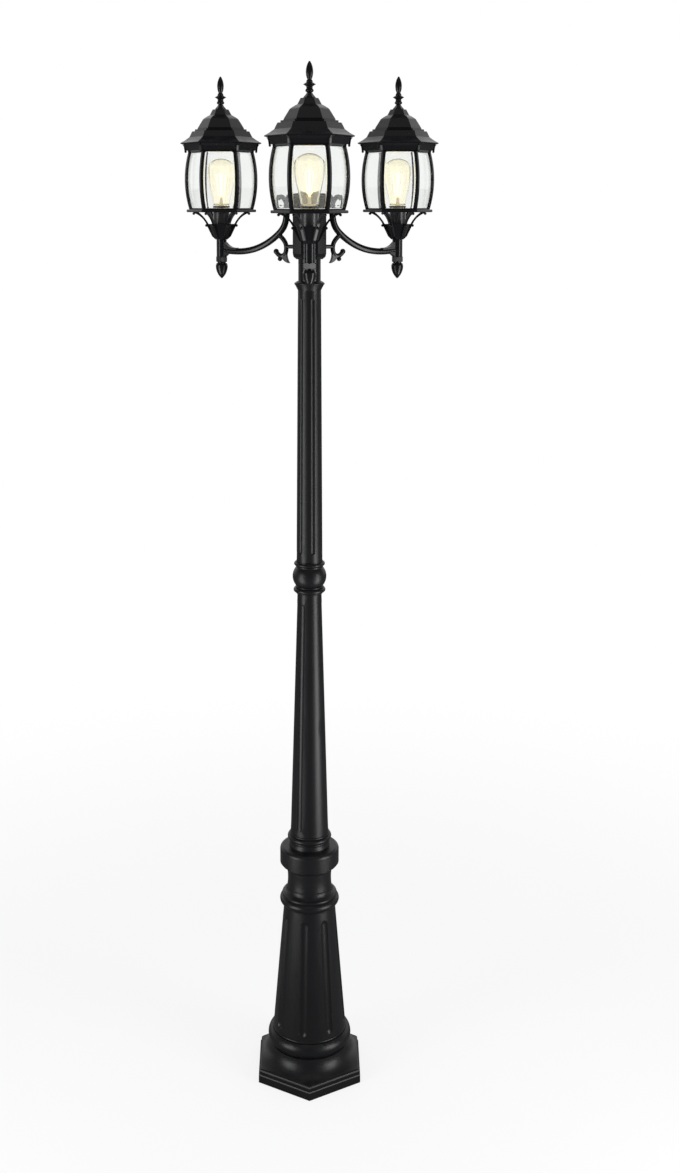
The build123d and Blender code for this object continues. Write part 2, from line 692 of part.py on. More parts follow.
def hub():
    """Six-sided junction box with a round neck. Its faces look along the arms."""
    chamfer_z = HEAD_Z + HUB_NECK_H
    body = hex_stack(
        (HUB_NECK_R / COS30 + 0.2, chamfer_z),
        (HUB_LOW_R, HUB_BODY_Z),
        (HUB_R, HUB_BODY_Z + 7),
        (HUB_R, HUB_TOP_Z),
        turn=0,
    )
    body += disc(HUB_NECK_R, HEAD_Z, chamfer_z + 1)
    body += disc(SPIGOT_R, HEAD_Z - SPIGOT_H, HEAD_Z)
    inner_r = HUB_INNER_FLAT / COS30
    body -= hex_stack((inner_r, HUB_FLOOR_Z), (inner_r, HUB_TOP_Z + 1), turn=0)
    body -= disc(HUB_BORE_R, HEAD_Z - SPIGOT_H - 1, HUB_BODY_Z)
    body -= disc(ROD_R + RUNNING_GAP, HUB_BODY_Z - 1, HUB_FLOOR_Z + 1)
    wire_hole = Pos(WIRE_HOLE_OFFSET, 0, HUB_BODY_Z) * Cylinder(WIRE_HOLE_R, 4 * HUB_FLOOR_T)
    body -= around(wire_hole, 3, 60)
    length = 3 * HUB_WALL
    for heading in HEADINGS.values():
        spin = Rot(0, 0, heading)
        upper = Pos(HUB_FLAT, 0, HEAD_Z + UPPER_PEG_H) * Rot(0, 90, 0)
        lower = Pos(HUB_FLAT, 0, HEAD_Z + LOWER_PEG_H) * Rot(0, 90, 0)
        body -= spin * upper * Cylinder(SPIGOT_THREAD_R + THREAD_GAP, length)
        body -= spin * lower * Cylinder(SCREW_R + THREAD_GAP, length)
    return body


def hub_cap():
    inner_r = HUB_INNER_FLAT / COS30 - FLAT_GAP
    body = hex_stack(
        (HUB_CAP_R - 2.5, HUB_TOP_Z),
        (HUB_CAP_R, HUB_TOP_Z + 3),
        (HUB_CAP_R, HUB_TOP_Z + HUB_CAP_H * 0.55),
        (HUB_CAP_R - 3, HUB_TOP_Z + HUB_CAP_H * 0.7),
        (HUB_CAP_R - 5, HUB_TOP_Z + HUB_CAP_H),
        turn=0,
    )
    spigot = hex_stack((inner_r, HUB_TOP_Z - HUB_CAP_SPIGOT_H), (inner_r, HUB_TOP_Z), turn=0)
    pocket_r = inner_r - HUB_WALL
    pocket_top = HUB_TOP_Z + HUB_CAP_H / 3
    pocket = hex_stack((pocket_r, HUB_TOP_Z - HUB_CAP_SPIGOT_H - 1), (pocket_r, pocket_top), turn=0)
    return body + spigot - pocket


def terminal_block():
    width, depth, height = TERMINAL_SIZE
    y = HUB_INNER_FLAT - depth / 2 - FLAT_GAP
    body = Pos(0, y, HUB_FLOOR_Z + height / 2) * Box(width, depth, height)
    for x in (-width / 3, 0, width / 3):
        body -= Pos(x, y, HUB_FLOOR_Z + height) * Cylinder(2.0, height / 2)
        body -= Pos(x, y, HUB_FLOOR_Z + height / 4) * Rot(90, 0, 0) * Cylinder(1.6, 2 * depth)
    return body


def arm_fasteners(heading):
    """Cap screw in the lower peg and lock nut on the upper one, both inside the hub."""
    face = HUB_INNER_FLAT
    z = HEAD_Z + LOWER_PEG_H
    shank = bar(along_arm(face - SCREW_HEAD_T, z), along_arm(HUB_FLAT + SCREW_DEPTH, z), SCREW_R)
    head = bar(along_arm(face - SCREW_HEAD_T, z), along_arm(face, z), SCREW_HEAD_R)
    nut = hex_stack((LOCK_NUT_R, -LOCK_NUT_T), (LOCK_NUT_R, 0), turn=0)
    nut -= disc(SPIGOT_THREAD_R + THREAD_GAP, -LOCK_NUT_T - 1, 1)
    nut = Pos(face, 0, HEAD_Z + UPPER_PEG_H) * Rot(0, 90, 0) * nut
    return [Rot(0, 0, heading) * piece for piece in (Part() + shank + head, nut)]


# ------------------------------------------------------------------ arm, in the plane of +X
def peg(height, radius, end):
    """Round peg from the hub's face, flared where it meets the hub and the arm."""
    flare = PEG_FLARE_R - PEG_R + radius
    mid = HUB_FLAT + PEG_FLARE_L * 0.35
    neck = HUB_FLAT + PEG_FLARE_L
    face = Face(Wire([
        Line((HUB_FLAT, 0, height), (HUB_FLAT, 0, height + flare)),
        ThreePointArc(
            (HUB_FLAT, 0, height + flare),
            (mid, 0, height + radius + (flare - radius) * 0.25),
            (neck, 0, height + radius),
        ),
        Line((neck, 0, height + radius), (end, 0, height + radius)),
        Line((end, 0, height + radius), (end, 0, height)),
        Line((end, 0, height), (HUB_FLAT, 0, height)),
    ]))
    return revolve(face, Axis((0, 0, height), (1, 0, 0)))


def arm():
    """Stem, curved arm, volute, scroll and the two pegs, as one casting."""
    base = HEAD_Z
    span = REACH - RISER_R
    joint = base + ARM_JOINT_H
    low = joint - ARM_DROP

    climb = base + KNEE_H - low

    def at(share, rise):
        return (RISER_R + share * span, low + rise * climb)

    route = [
        (REACH, joint),
        at(ARM_LOW_AT, 0),
        at(0.56, 0.037),
        at(0.415, 0.123),
        at(0.268, 0.27),
        at(0.127, 0.479),
        at(0.04, 0.688),
        (RISER_R, base + KNEE_H),
        (RISER_R, base + RISER_TOP_H),
    ]
    body = swept_rod(route, ARM_R)
    body += disc(STEM_R, STEM_Z, CUP_Z).moved(Location((REACH, 0, base)))
    web_low = joint - WEB_H / 2 + 1
    web_high = joint + WEB_H / 2 + 1
    inner = REACH - STEM_R + 4
    outer = REACH - STEM_R - WEB_REACH
    mid = REACH - STEM_R - WEB_REACH * 0.3
    web = plate([
        Line((inner, 0, web_low), (inner, 0, web_high)),
        Line((inner, 0, web_high), (inner - 4, 0, web_high)),
        ThreePointArc(
            (inner - 4, 0, web_high),
            (mid, 0, joint + ARM_R + 1.8),
            (outer, 0, joint + ARM_R - 2.5),
        ),
        Line((outer, 0, joint + ARM_R - 2.5), (outer, 0, joint - ARM_R)),
        ThreePointArc((outer, 0, joint - ARM_R), (mid, 0, joint - ARM_R - 1.2), (inner - 4, 0, web_low)),
        Line((inner - 4, 0, web_low), (inner, 0, web_low)),
    ], WEB_T)
    body += web
    volute_z = base + RISER_TOP_H
    volute = [
        (RISER_R, volute_z - 4),
        (RISER_R + 3, volute_z + 12),
        (RISER_R + 14, volute_z + 21),
        (RISER_R + 24, volute_z + 14),
        (RISER_R + 24, volute_z + 2),
        (RISER_R + 16, volute_z - 2),
    ]
    body += swept_rod(volute, SCROLL_R)
    body += ball(ARM_R, RISER_R, volute_z)
    body += ball(SCROLL_BALL_R, *volute[-1])
    peg_z = base + LOWER_PEG_H
    scroll = [
        (RISER_R + 18, peg_z + 24),
        (RISER_R + 8, peg_z + 15),
        (RISER_R + 2, peg_z + 5),
        (RISER_R + 1, peg_z - 6),
        (RISER_R + 5, peg_z - 17),
        (RISER_R + 13, peg_z - 20.5),
        (RISER_R + 21, peg_z - 17.5),
        (RISER_R + 26.5, peg_z - 11),
    ]
    body += swept_rod(scroll, SCROLL_R)
    body += ball(SCROLL_BALL_R, *scroll[-1])
    root_out = (RISER_R + 12, 0, peg_z - 20)
    root_in = (RISER_R - 1, 0, peg_z - 10)
    tip = (RISER_R - 7, 0, peg_z - 36)
    body += plate([
        Line(root_in, root_out),
        ThreePointArc(root_out, (RISER_R + 4.5, 0, peg_z - 31), tip),
        ThreePointArc(tip, (RISER_R - 1.5, 0, peg_z - 25), root_in),
    ], LEAF_T)
    body += ball(SCROLL_R, RISER_R + 17, peg_z - 27)
    body += peg(peg_z, PEG_R, RISER_R + 1)
    upper_z = base + UPPER_PEG_H
    body += peg(upper_z, UPPER_PEG_R, RISER_R)
    thread_end = HUB_INNER_FLAT - SPIGOT_THREAD_L
    body += bar(along_arm(thread_end, upper_z), along_arm(HUB_FLAT + 1, upper_z), SPIGOT_THREAD_R)
    bore = swept_rod(route[:-1] + [(RISER_R, upper_z)], WIREWAY_R)
    bore += ball(WIREWAY_R, RISER_R, upper_z)
    bore += bar(along_arm(thread_end - 1, upper_z), along_arm(RISER_R, upper_z), WIREWAY_R)
    body -= bore
    nipple_hole = disc(NIPPLE_R + THREAD_GAP, STEM_Z - 1, CUP_Z + 1)
    body -= nipple_hole.moved(Location((REACH, 0, base)))
    screw_bore = bar(
        along_arm(HUB_FLAT - 1, peg_z), along_arm(HUB_FLAT + SCREW_DEPTH + 1, peg_z), SCREW_R + THREAD_GAP
    )
    return body - screw_bore


# ------------------------------------------------------------------ lantern, on its own axis
def acorn_nut():
    """Blind nut with a hexagonal collar, under the stem."""
    body = turned(
        (0, 0),
        (1.2, 0),
        (ACORN_R * 0.78, ACORN_H * 0.4, ACORN_R, ACORN_H * 0.86),
        (ACORN_R - 1.6, ACORN_H),
        (ACORN_NECK_R, ACORN_H + 0.8),
        (ACORN_NECK_R, COLLAR_NUT_Z),
        (0, COLLAR_NUT_Z),
    )
    collar = hex_stack((NUT_COLLAR_R, COLLAR_NUT_Z), (NUT_COLLAR_R, STEM_Z), turn=0)
    flat = NUT_COLLAR_R * COS30
    chamfer = turned(
        (0, COLLAR_NUT_Z),
        (flat - 0.4, COLLAR_NUT_Z),
        (NUT_COLLAR_R + 0.2, COLLAR_NUT_Z + 2.4),
        (NUT_COLLAR_R + 0.2, STEM_Z - 2.4),
        (flat - 0.4, STEM_Z),
        (0, STEM_Z),
    )
    bore_bottom = STEM_Z - NIPPLE_IN_ACORN - RUNNING_GAP
    return body + (collar & chamfer) - disc(NIPPLE_R + THREAD_GAP, bore_bottom, STEM_Z + 1)


def nipple():
    """Hollow threaded tube that clamps acorn nut, stem, cup and lampholder together."""
    body = tube(NIPPLE_R, NIPPLE_BORE_R, STEM_Z - NIPPLE_IN_ACORN, CUP_TOP_Z + NIPPLE_IN_HOLDER)
    side_hole = bar((-2 * NIPPLE_R, 0, ARM_JOINT_H), (0, 0, ARM_JOINT_H), WIREWAY_R)
    return body - side_hole


def cradle():
    """Hexagonal cup with a rib and strut at each corner, which hold the tray."""
    low_z = CUP_Z + CUP_CHAMFER_H
    body = hex_stack((CUP_SEAT_R, CUP_Z), (CUP_LOW_R, low_z), (CUP_TOP_R, CUP_TOP_Z))
    knob_z = CUP_TOP_Z - 3.5
    under = TRAY_Z
    strut = plate([
        Line((CUP_SEAT_R - 2, 0, CUP_Z), (CUP_SEAT_R + 0.6, 0, CUP_Z)),
        Line((CUP_SEAT_R + 0.6, 0, CUP_Z), (CUP_LOW_R + CUP_RIB_PROUD, 0, low_z)),
        Line((CUP_LOW_R + CUP_RIB_PROUD, 0, low_z), (CUP_TOP_R + CUP_RIB_PROUD, 0, CUP_TOP_Z - 6)),
        ThreePointArc(
            (CUP_TOP_R + CUP_RIB_PROUD, 0, CUP_TOP_Z - 6),
            (CUP_TOP_R + 12.0, 0, CUP_TOP_Z + STRUT_SPAN_H * 0.42),
            (STRUT_FOOT_R, 0, under - 3.4),
        ),
        Line((STRUT_FOOT_R, 0, under - 3.4), (STRUT_KNOB_R, 0, under - 3.4)),
        Line((STRUT_KNOB_R, 0, under - 3.4), (STRUT_KNOB_R, 0, under)),
        Line((STRUT_KNOB_R, 0, under), (STRUT_FOOT_R - 6, 0, under)),
        ThreePointArc(
            (STRUT_FOOT_R - 6, 0, under),
            (CUP_TOP_R + 8.4, 0, CUP_TOP_Z + STRUT_SPAN_H * 0.5),
            (CUP_TOP_R - 1.0, 0, CUP_TOP_Z - 1.5),
        ),
        Line((CUP_TOP_R - 1.0, 0, CUP_TOP_Z - 1.5), (CUP_SEAT_R - 2, 0, CUP_Z)),
    ], STRUT_T)
    strut += ball(STRUT_KNOB_SIZE, STRUT_KNOB_R, under - STRUT_KNOB_SIZE - 0.2)
    strut += ball(STRUT_KNOB_SIZE, CUP_KNOB_R, knob_z)
    body += around(strut, 6, 30)
    return body - disc(NIPPLE_R + THREAD_GAP, CUP_Z - 1, CUP_TOP_Z + 1)


def tray():
    body = hex_stack(
        (TRAY_R - TRAY_EDGE, TRAY_Z),
        (TRAY_R, TRAY_Z + TRAY_EDGE),
        (TRAY_R, CAGE_Z - TRAY_EDGE),
        (TRAY_R - TRAY_EDGE, CAGE_Z),
    )
    return body - disc(HOLDER_R + RUNNING_GAP, TRAY_Z - 1, CAGE_Z + 1)


def cage():
    """Six bowed ribs between a sill and a top ring."""
    outer = bowed_prism(CAGE_MID_R * COS30, CAGE_END_R * COS30, CAGE_Z, BOW_TOP_Z)
    inner = bowed_prism(CAGE_INNER_MID, CAGE_INNER_END, CAGE_Z, BOW_TOP_Z)
    body = outer - inner
    window = side_outline(
        CAGE_END_R / 2 - RIB_FACE,
        CAGE_MID_R / 2 - RIB_FACE,
        CAGE_Z,
        BOW_TOP_Z,
        CAGE_Z + CAGE_SILL_H,
        CAGE_Z + WINDOW_TOP_H,
        WINDOW_CORNER,
    )
    opening = extrude(Pos(CAGE_INNER_END / 2, 0, 0) * window, CAGE_MID_R, dir=(1, 0, 0))
    body -= around(opening, 6)
    ring_z = BOW_TOP_Z - TOP_RING_BELOW
    ring = hex_stack((TOP_RING_R, ring_z), (TOP_RING_R, SEAT_Z))
    ring -= hex_stack((TOP_RING_INNER_R, ring_z - 1), (TOP_RING_INNER_R, SEAT_Z + 1))
    return body + ring


def glass_panes():
    """Six glass panes behind the ribs, flat in plan and bowed in height."""
    mid = CAGE_INNER_MID - RUNNING_GAP
    end = CAGE_INNER_END - RUNNING_GAP
    bottom = CAGE_Z + RUNNING_GAP
    top = BOW_TOP_Z - TOP_RING_BELOW - RUNNING_GAP
    outer = bowed_prism(mid, end, CAGE_Z, BOW_TOP_Z)
    inner = bowed_prism(mid - PANE_T, end - PANE_T, CAGE_Z, BOW_TOP_Z)
    slope = tan(radians(30))
    outline = side_outline(
        (end - PANE_T) * slope - PANE_MITRE + 0.8,
        (mid - PANE_T) * slope - PANE_MITRE + 0.8,
        CAGE_Z,
        BOW_TOP_Z,
        bottom,
        top,
    )
    block = extrude(Pos(end / 2, 0, 0) * outline, CAGE_MID_R, dir=(1, 0, 0))
    pane = (outer - inner) & block
    return around(pane, 6)


def roof_levels():
    """Corner radius and height of each edge of the roof's outside, from the cornice up."""
    levels = [
        (CORNICE_LOW_R, SEAT_Z - ROOF_SKIRT_H),
        (CORNICE_MID_R, SEAT_Z - ROOF_SKIRT_H + CORNICE_H * 0.6),
        (CORNICE_TOP_R, SEAT_Z - ROOF_SKIRT_H + CORNICE_H - 1),
        (ROOF_RIM_R - 0.5, SEAT_Z - ROOF_SKIRT_H + CORNICE_H),
        (ROOF_RIM_R, SEAT_Z - ROOF_SKIRT_H + CORNICE_H + RIM_T),
    ]
    steps = [
        (EAVE_INSET, EAVE_H),
        (SLOPE_INSET, SLOPE_H),
        (BELL_INSET, BELL_H),
        (LEDGE_W, 0),
        (0, RISER_H),
        (KERB_W, 0),
        (0, KERB_H),
        (TIER_INSET, TIER_H),
        (SHOULDER_INSET * 0.35, SHOULDER_H * 0.42),
        (SHOULDER_INSET * 0.65, SHOULDER_H * 0.58),
        (CROWN_LEDGE_W, CROWN_LEDGE_H),
        (CROWN_INSET, CROWN_H),
    ]
    for inset, rise in steps:
        radius, height = levels[-1]
        levels.append((radius - inset, height + rise))
    return levels


def roof():
    """Hollow stepped roof with a cornice that drops round the cage's top ring."""
    levels = roof_levels()
    body = hex_stack(*levels)
    low = levels[0][1]
    rim = levels[3][1]
    eave, bell, kerb, tier, shoulder, top = (levels[k] for k in (5, 7, 11, 12, 14, 16))
    wall = ROOF_WALL / COS30
    socket_r = TOP_RING_R + FLAT_GAP
    throat_r = TOP_RING_INNER_R + ROOF_WALL
    hollow = hex_stack(
        (socket_r, low - 1),
        (socket_r, SEAT_Z),
        (throat_r, SEAT_Z),
        (throat_r, eave[1]),
        (bell[0] - 2 * wall, bell[1] - ROOF_WALL),
        (kerb[0] - wall, bell[1]),
        (tier[0] - 2 * wall, tier[1] - ROOF_WALL),
        (shoulder[0] - 3 * wall, shoulder[1] - ROOF_WALL),
    )
    cove = low + CORNICE_H * 0.6
    tooth = plate([
        Line((CORNICE_LOW_R - 3, 0, low + 1), (CORNICE_LOW_R - 0.8, 0, low - 0.4)),
        ThreePointArc(
            (CORNICE_LOW_R - 0.8, 0, low - 0.4),
            (CORNICE_LOW_R + 1.2, 0, low - TOOTH_H),
            (CORNICE_LOW_R + 3.0, 0, low - 1.2),
        ),
        Line((CORNICE_LOW_R + 3.0, 0, low - 1.2), (CORNICE_MID_R + 2.2, 0, cove)),
        Line((CORNICE_MID_R + 2.2, 0, cove), (CORNICE_TOP_R + 2.0, 0, rim - 0.8)),
        Line((CORNICE_TOP_R + 2.0, 0, rim - 0.8), (CORNICE_MID_R - 3, 0, cove)),
        Line((CORNICE_MID_R - 3, 0, cove), (CORNICE_LOW_R - 3, 0, low + 1)),
    ], TOOTH_T)
    body = body - hollow + around(tooth, 6, 30)
    body -= disc(FINIAL_STUD_R + THREAD_GAP, shoulder[1] - ROOF_WALL - 1, top[1] + 1)
    screw_z = SEAT_Z - ROOF_SCREW_H
    for heading in ROOF_SCREW_HEADINGS:
        bore = bar((TOP_RING_R * COS30, 0, screw_z), (ROOF_RIM_R, 0, screw_z), ROOF_SCREW_R + THREAD_GAP)
        body -= Rot(0, 0, heading) * bore
    return body


def roof_screws():
    """Grub screws through the cornice, backed off from the cage's ring."""
    z = SEAT_Z - ROOF_SCREW_H
    start = TOP_RING_R * COS30 + RUNNING_GAP
    end = CORNICE_LOW_R * COS30 + 0.3
    socket = hex_stack((1.1, -1.6), (1.1, 1), turn=0)
    screw = bar((start, 0, z), (end, 0, z), ROOF_SCREW_R)
    screw = Part() + screw - Pos(end, 0, z) * Rot(0, 90, 0) * socket
    return [Rot(0, 0, heading) * screw for heading in ROOF_SCREW_HEADINGS]


def finial():
    """Spiked finial, six-sided at its foot, whose stud screws into the roof."""
    bottom = roof_levels()[-1][1]
    flare_z = bottom + FINIAL_PLINTH_H
    neck_z = flare_z + FINIAL_FLARE_H
    ring_top = neck_z + FINIAL_RING_H
    stem_top = ring_top + FINIAL_STEM_H
    disc_top = stem_top + FINIAL_DISC_H
    bead_top = disc_top + FINIAL_BEAD_H
    foot = hex_stack(
        (FINIAL_FOOT_R, bottom),
        (FINIAL_FOOT_R - 0.6, flare_z),
        (FINIAL_FOOT_R * 0.62, flare_z + FINIAL_FLARE_H * 0.55),
        (FINIAL_NECK_R + 0.4, neck_z),
    )
    upper = turned(
        (0, neck_z - 2),
        (FINIAL_NECK_R, neck_z - 2),
        (FINIAL_NECK_R, neck_z + 0.6),
        (FINIAL_RING_R, neck_z + FINIAL_RING_H * 0.55, FINIAL_STEM_R, ring_top),
        (FINIAL_STEM_R, stem_top),
        (FINIAL_DISC_R - 1, stem_top + FINIAL_DISC_H * 0.42),
        (FINIAL_DISC_R, stem_top + FINIAL_DISC_H * 0.5, FINIAL_DISC_R - 1, stem_top + FINIAL_DISC_H * 0.58),
        (FINIAL_BEAD_R, disc_top),
        bulge(FINIAL_WAIST_R, disc_top, bead_top, FINIAL_BEAD_R - FINIAL_WAIST_R),
        (FINIAL_SPIKE_R, bead_top + FINIAL_SPIKE_H * 0.38, FINIAL_TIP_R, bead_top + FINIAL_SPIKE_H),
        (0, bead_top + FINIAL_SPIKE_H),
    )
    return foot + upper + disc(FINIAL_STUD_R, bottom - FINIAL_STUD_L, bottom + 1)


# ------------------------------------------------------------------ lampholder and bulb
def thread_moves(root, crest, bottom, turns, pitch):
    """Ring-shaped stand-in for a rounded thread, as arc moves going up."""
    moves = []
    for turn in range(turns):
        start = bottom + turn * pitch
        moves.append((crest, start + pitch / 2, root, start + pitch))
    return moves


def lampholder():
    body = disc(HOLDER_R, CUP_TOP_Z, HOLDER_TOP_Z)
    body -= disc(HOLDER_CAVITY_R, CONTACT_Z, HOLDER_TOP_Z + 1)
    body -= disc(SHELL_LIP_R + RUNNING_GAP, HOLDER_TOP_Z - SHELL_LIP_T, HOLDER_TOP_Z + 1)
    return body - disc(NIPPLE_R + THREAD_GAP, CUP_TOP_Z - 1, CUP_TOP_Z + NIPPLE_IN_HOLDER + RUNNING_GAP)


def socket_shell():
    """Brass screw shell, hung by its lip in the lampholder."""
    bottom = HOLDER_TOP_Z - SHELL_H
    lip_z = HOLDER_TOP_Z - SHELL_LIP_T
    inner = SHELL_BORE_R
    turns = int((SHELL_H - 2) / THREAD_PITCH)
    thread = thread_moves(inner, inner - THREAD_DEPTH / 2, bottom + 1, turns, THREAD_PITCH)
    lining = turned(
        (SHELL_R, bottom),
        (inner, bottom),
        (inner, bottom + 1),
        *thread,
        (inner, HOLDER_TOP_Z),
        (SHELL_R, HOLDER_TOP_Z),
    )
    return lining + tube(SHELL_LIP_R, SHELL_R - 0.2, lip_z, HOLDER_TOP_Z)


def socket_contact():
    return disc(CONTACT_R, CONTACT_Z, CONTACT_Z + CONTACT_T)


def bulb_tip():
    shoulder = TIP_H * 0.7
    return turned(
        (0, TIP_Z),
        (TIP_R - shoulder, TIP_Z),
        (TIP_R - shoulder * 0.3, TIP_Z + shoulder * 0.3, TIP_R, TIP_Z + shoulder),
        (TIP_R, TIP_Z + TIP_H),
        (0, TIP_Z + TIP_H),
    )


def bulb_cap():
    """Screw cap with its insulating cone, open at the top for the glass neck."""
    thread_z = CAP_Z + CAP_CONE_H
    top = CAP_Z + CAP_H
    root = CAP_ROOT_R
    inner = CAP_BORE_R
    turns = int((CAP_H - CAP_CONE_H - 2) / THREAD_PITCH)
    thread = thread_moves(root, CAP_R, thread_z, turns, THREAD_PITCH)
    thread_top = thread_z + turns * THREAD_PITCH
    return turned(
        (0, CAP_Z),
        (TIP_R + 0.6, CAP_Z),
        (root, thread_z),
        *thread,
        (root, thread_top),
        (root, top),
        (inner, top),
        (inner, thread_z + 2),
        (0, thread_z + 2),
    )


def bulb_profile(inset):
    """Radii and heights of the bulb's glass, moved inwards by inset."""
    widest_z = GLASS_Z + BULB_GLASS_H * BULB_WIDEST
    return {
        "neck": BULB_NECK_R - inset,
        "foot_z": GLASS_Z + inset,
        "foot": BULB_FOOT_R - inset,
        "widest": BULB_R - inset,
        "widest_z": widest_z,
        "top": GLASS_Z + BULB_GLASS_H - inset,
    }


def bulb_body(inset, bottom):
    """Solid of revolution inside the bulb's outline."""
    at = bulb_profile(inset)
    corner = BULB_FOOT_CORNER
    bend = corner * (1 - sqrt(0.5))
    side = Spline(
        (at["foot"], 0, at["foot_z"] + corner),
        (at["foot"] + (at["widest"] - at["foot"]) * 0.56, 0, GLASS_Z + BULB_GLASS_H * 0.36),
        (at["widest"], 0, at["widest_z"]),
        tangents=[(0.12, 0, 1), (0, 0, 1)],
    )
    crown = Bezier(
        (at["widest"], 0, at["widest_z"]),
        (at["widest"], 0, at["widest_z"] + (at["top"] - at["widest_z"]) * 0.6),
        (at["widest"] * 0.55, 0, at["top"]),
        (0, 0, at["top"]),
    )
    edges = [
        Line((0, 0, bottom), (at["neck"], 0, bottom)),
        Line((at["neck"], 0, bottom), (at["neck"], 0, at["foot_z"])),
        Line((at["neck"], 0, at["foot_z"]), (at["foot"] - corner, 0, at["foot_z"])),
        ThreePointArc(
            (at["foot"] - corner, 0, at["foot_z"]),
            (at["foot"] - bend, 0, at["foot_z"] + bend),
            (at["foot"], 0, at["foot_z"] + corner),
        ),
        side,
        crown,
        Line((0, 0, at["top"]), (0, 0, bottom)),
    ]
    return revolve(Face(Wire(edges)), Axis.Z)


def bulb_glass():
    bottom = GLASS_Z - BULB_NECK_L
    return bulb_body(0, bottom) - bulb_body(BULB_WALL, bottom - 1)


def bulb_filament():
    """Glass mount with its support wires and four filament rods."""
    foot_z = GLASS_Z - BULB_NECK_L
    waist_z = foot_z + STEM_GLASS_H
    low_z = GLASS_Z + FILAMENT_LOW_H
    top_z = GLASS_Z + FILAMENT_TOP_H
    flare_r = BULB_NECK_R - BULB_WALL - RUNNING_GAP
    body = turned(
        (0, foot_z),
        (flare_r, foot_z),
        (flare_r, foot_z + 2),
        (STEM_GLASS_R + 2, foot_z + STEM_GLASS_H * 0.5, STEM_GLASS_R, waist_z),
        (STEM_GLASS_R * 0.6, low_z),
        (STEM_GLASS_R * 0.6, top_z - 6),
        (STEM_GLASS_R, top_z - 3),
        (0, top_z + 1),
    )
    low = (FILAMENT_LOW_R, 0, low_z)
    top = (FILAMENT_TOP_R, 0, top_z - 6)
    rod = capsule(low, top, FILAMENT_R)
    rod += bar((0, 0, low_z - 4), low, SUPPORT_R)
    rod += bar((0, 0, top_z - 2), top, SUPPORT_R)
    return body + around(rod, FILAMENT_COUNT, 45)


# ------------------------------------------------------------------ build and write
def write(name, shape):
    solids = shape if isinstance(shape, list) else [shape]
    pieces = [solid for piece in solids for solid in piece.solids()]
    label = Compound(children=pieces) if len(pieces) > 1 else pieces[0]
    export_step(label, f"parts/{name}.step")


def build():
    os.makedirs("parts", exist_ok=True)
    write("pedestal", pedestal())
    write("anchor_plate", anchor_plate())
    write("tie_rod", tie_rod())
    write("tie_rod_nut", tie_rod_nut())
    write("lower_pole", lower_pole())
    write("pole_knuckle", knuckle())
    write("upper_pole", upper_pole())
    write("hub", hub())
    write("hub_cap", hub_cap())
    write("terminal_block", terminal_block())
    write("arm_fasteners", [piece for heading in HEADINGS.values() for piece in arm_fasteners(heading)])
    lantern = {
        "roof": roof(),
        "roof_finial": finial(),
        "roof_screws": roof_screws(),
        "cage": cage(),
        "glass_panes": glass_panes(),
        "tray": tray(),
        "cradle": cradle(),
        "lampholder": lampholder(),
        "socket_shell": socket_shell(),
        "nipple": nipple(),
        "acorn_nut": acorn_nut(),
        "bulb_glass": bulb_glass(),
        "bulb_cap": bulb_cap(),
        "bulb_tip": bulb_tip(),
        "bulb_filament": bulb_filament(),
    }
    one_arm = arm()
    contact = socket_contact()
    contacts = []
    for side, heading in HEADINGS.items():
        place = Location((0, 0, 0), (0, 0, heading)) * Location((REACH, 0, HEAD_Z))
        for name, shape in lantern.items():
            shapes = shape if isinstance(shape, list) else [shape]
            write(f"{side}_{name}", [piece.moved(place) for piece in shapes])
        write(f"{side}_arm", one_arm.moved(Location((0, 0, 0), (0, 0, heading))))
        contacts.append(contact.moved(place))
    write("socket_contacts", contacts)
    tip = lantern["roof_finial"].bounding_box().max.Z
    print(f"head height {tip:.1f}, overall height {HEAD_Z + tip:.1f}, reach {REACH:.1f}")


build()
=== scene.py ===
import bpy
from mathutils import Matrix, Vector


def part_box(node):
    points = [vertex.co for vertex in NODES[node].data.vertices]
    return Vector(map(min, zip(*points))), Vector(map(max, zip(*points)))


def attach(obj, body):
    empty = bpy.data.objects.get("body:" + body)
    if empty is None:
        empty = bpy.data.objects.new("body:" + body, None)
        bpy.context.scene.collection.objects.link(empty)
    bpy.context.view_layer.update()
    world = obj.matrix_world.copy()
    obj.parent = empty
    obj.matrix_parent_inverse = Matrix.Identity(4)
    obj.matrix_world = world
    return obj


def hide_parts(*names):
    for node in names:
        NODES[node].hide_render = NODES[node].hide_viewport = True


bl_info = {
    "name": "Triple Head Lamp Post",
    "version": (1, 0, 0),
    "blender": (4, 5, 0),
    "location": "View3D > Sidebar > Lamp Post",
    "description": "Finishes, glazing, bulbs and studio for a garden lamp post with three lanterns",
    "category": "Object",
}

import math

import bmesh
import bpy
from bpy.props import FloatProperty, FloatVectorProperty, IntProperty, PointerProperty
from mathutils import Matrix, Vector

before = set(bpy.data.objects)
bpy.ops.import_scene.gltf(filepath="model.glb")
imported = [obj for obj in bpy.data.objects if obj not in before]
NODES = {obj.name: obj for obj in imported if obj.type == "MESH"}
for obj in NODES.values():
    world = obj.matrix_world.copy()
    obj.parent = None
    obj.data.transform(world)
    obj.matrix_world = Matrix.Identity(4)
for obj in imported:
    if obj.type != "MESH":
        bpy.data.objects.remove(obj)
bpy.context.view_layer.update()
SIDES = ("front", "right", "left")

# a lantern's heights above the arms' lowest tips, and the cage's corners, in metres
TRAY_H = 0.147
CAGE_BOTTOM_H = 0.153
CAGE_TOP_H = 0.2835
CAGE_END_R = 0.0715  # at the cage's bottom and top
CAGE_MID_R = 0.0809  # halfway up its bow
PANE_INSET = 0.0048  # from the cage's outer face to a pane's
PANE_T = 0.003
PANE_SIDE_GAP = 0.0001
PANE_BOTTOM_GAP = 0.0003
PANE_TOP_GAP = 0.0043
FLAT_SHARE = math.cos(math.pi / 6)  # a hexagon's flats against its corners
SIDE_SLOPE = math.tan(math.pi / 6)  # half a hexagon's side against its flats

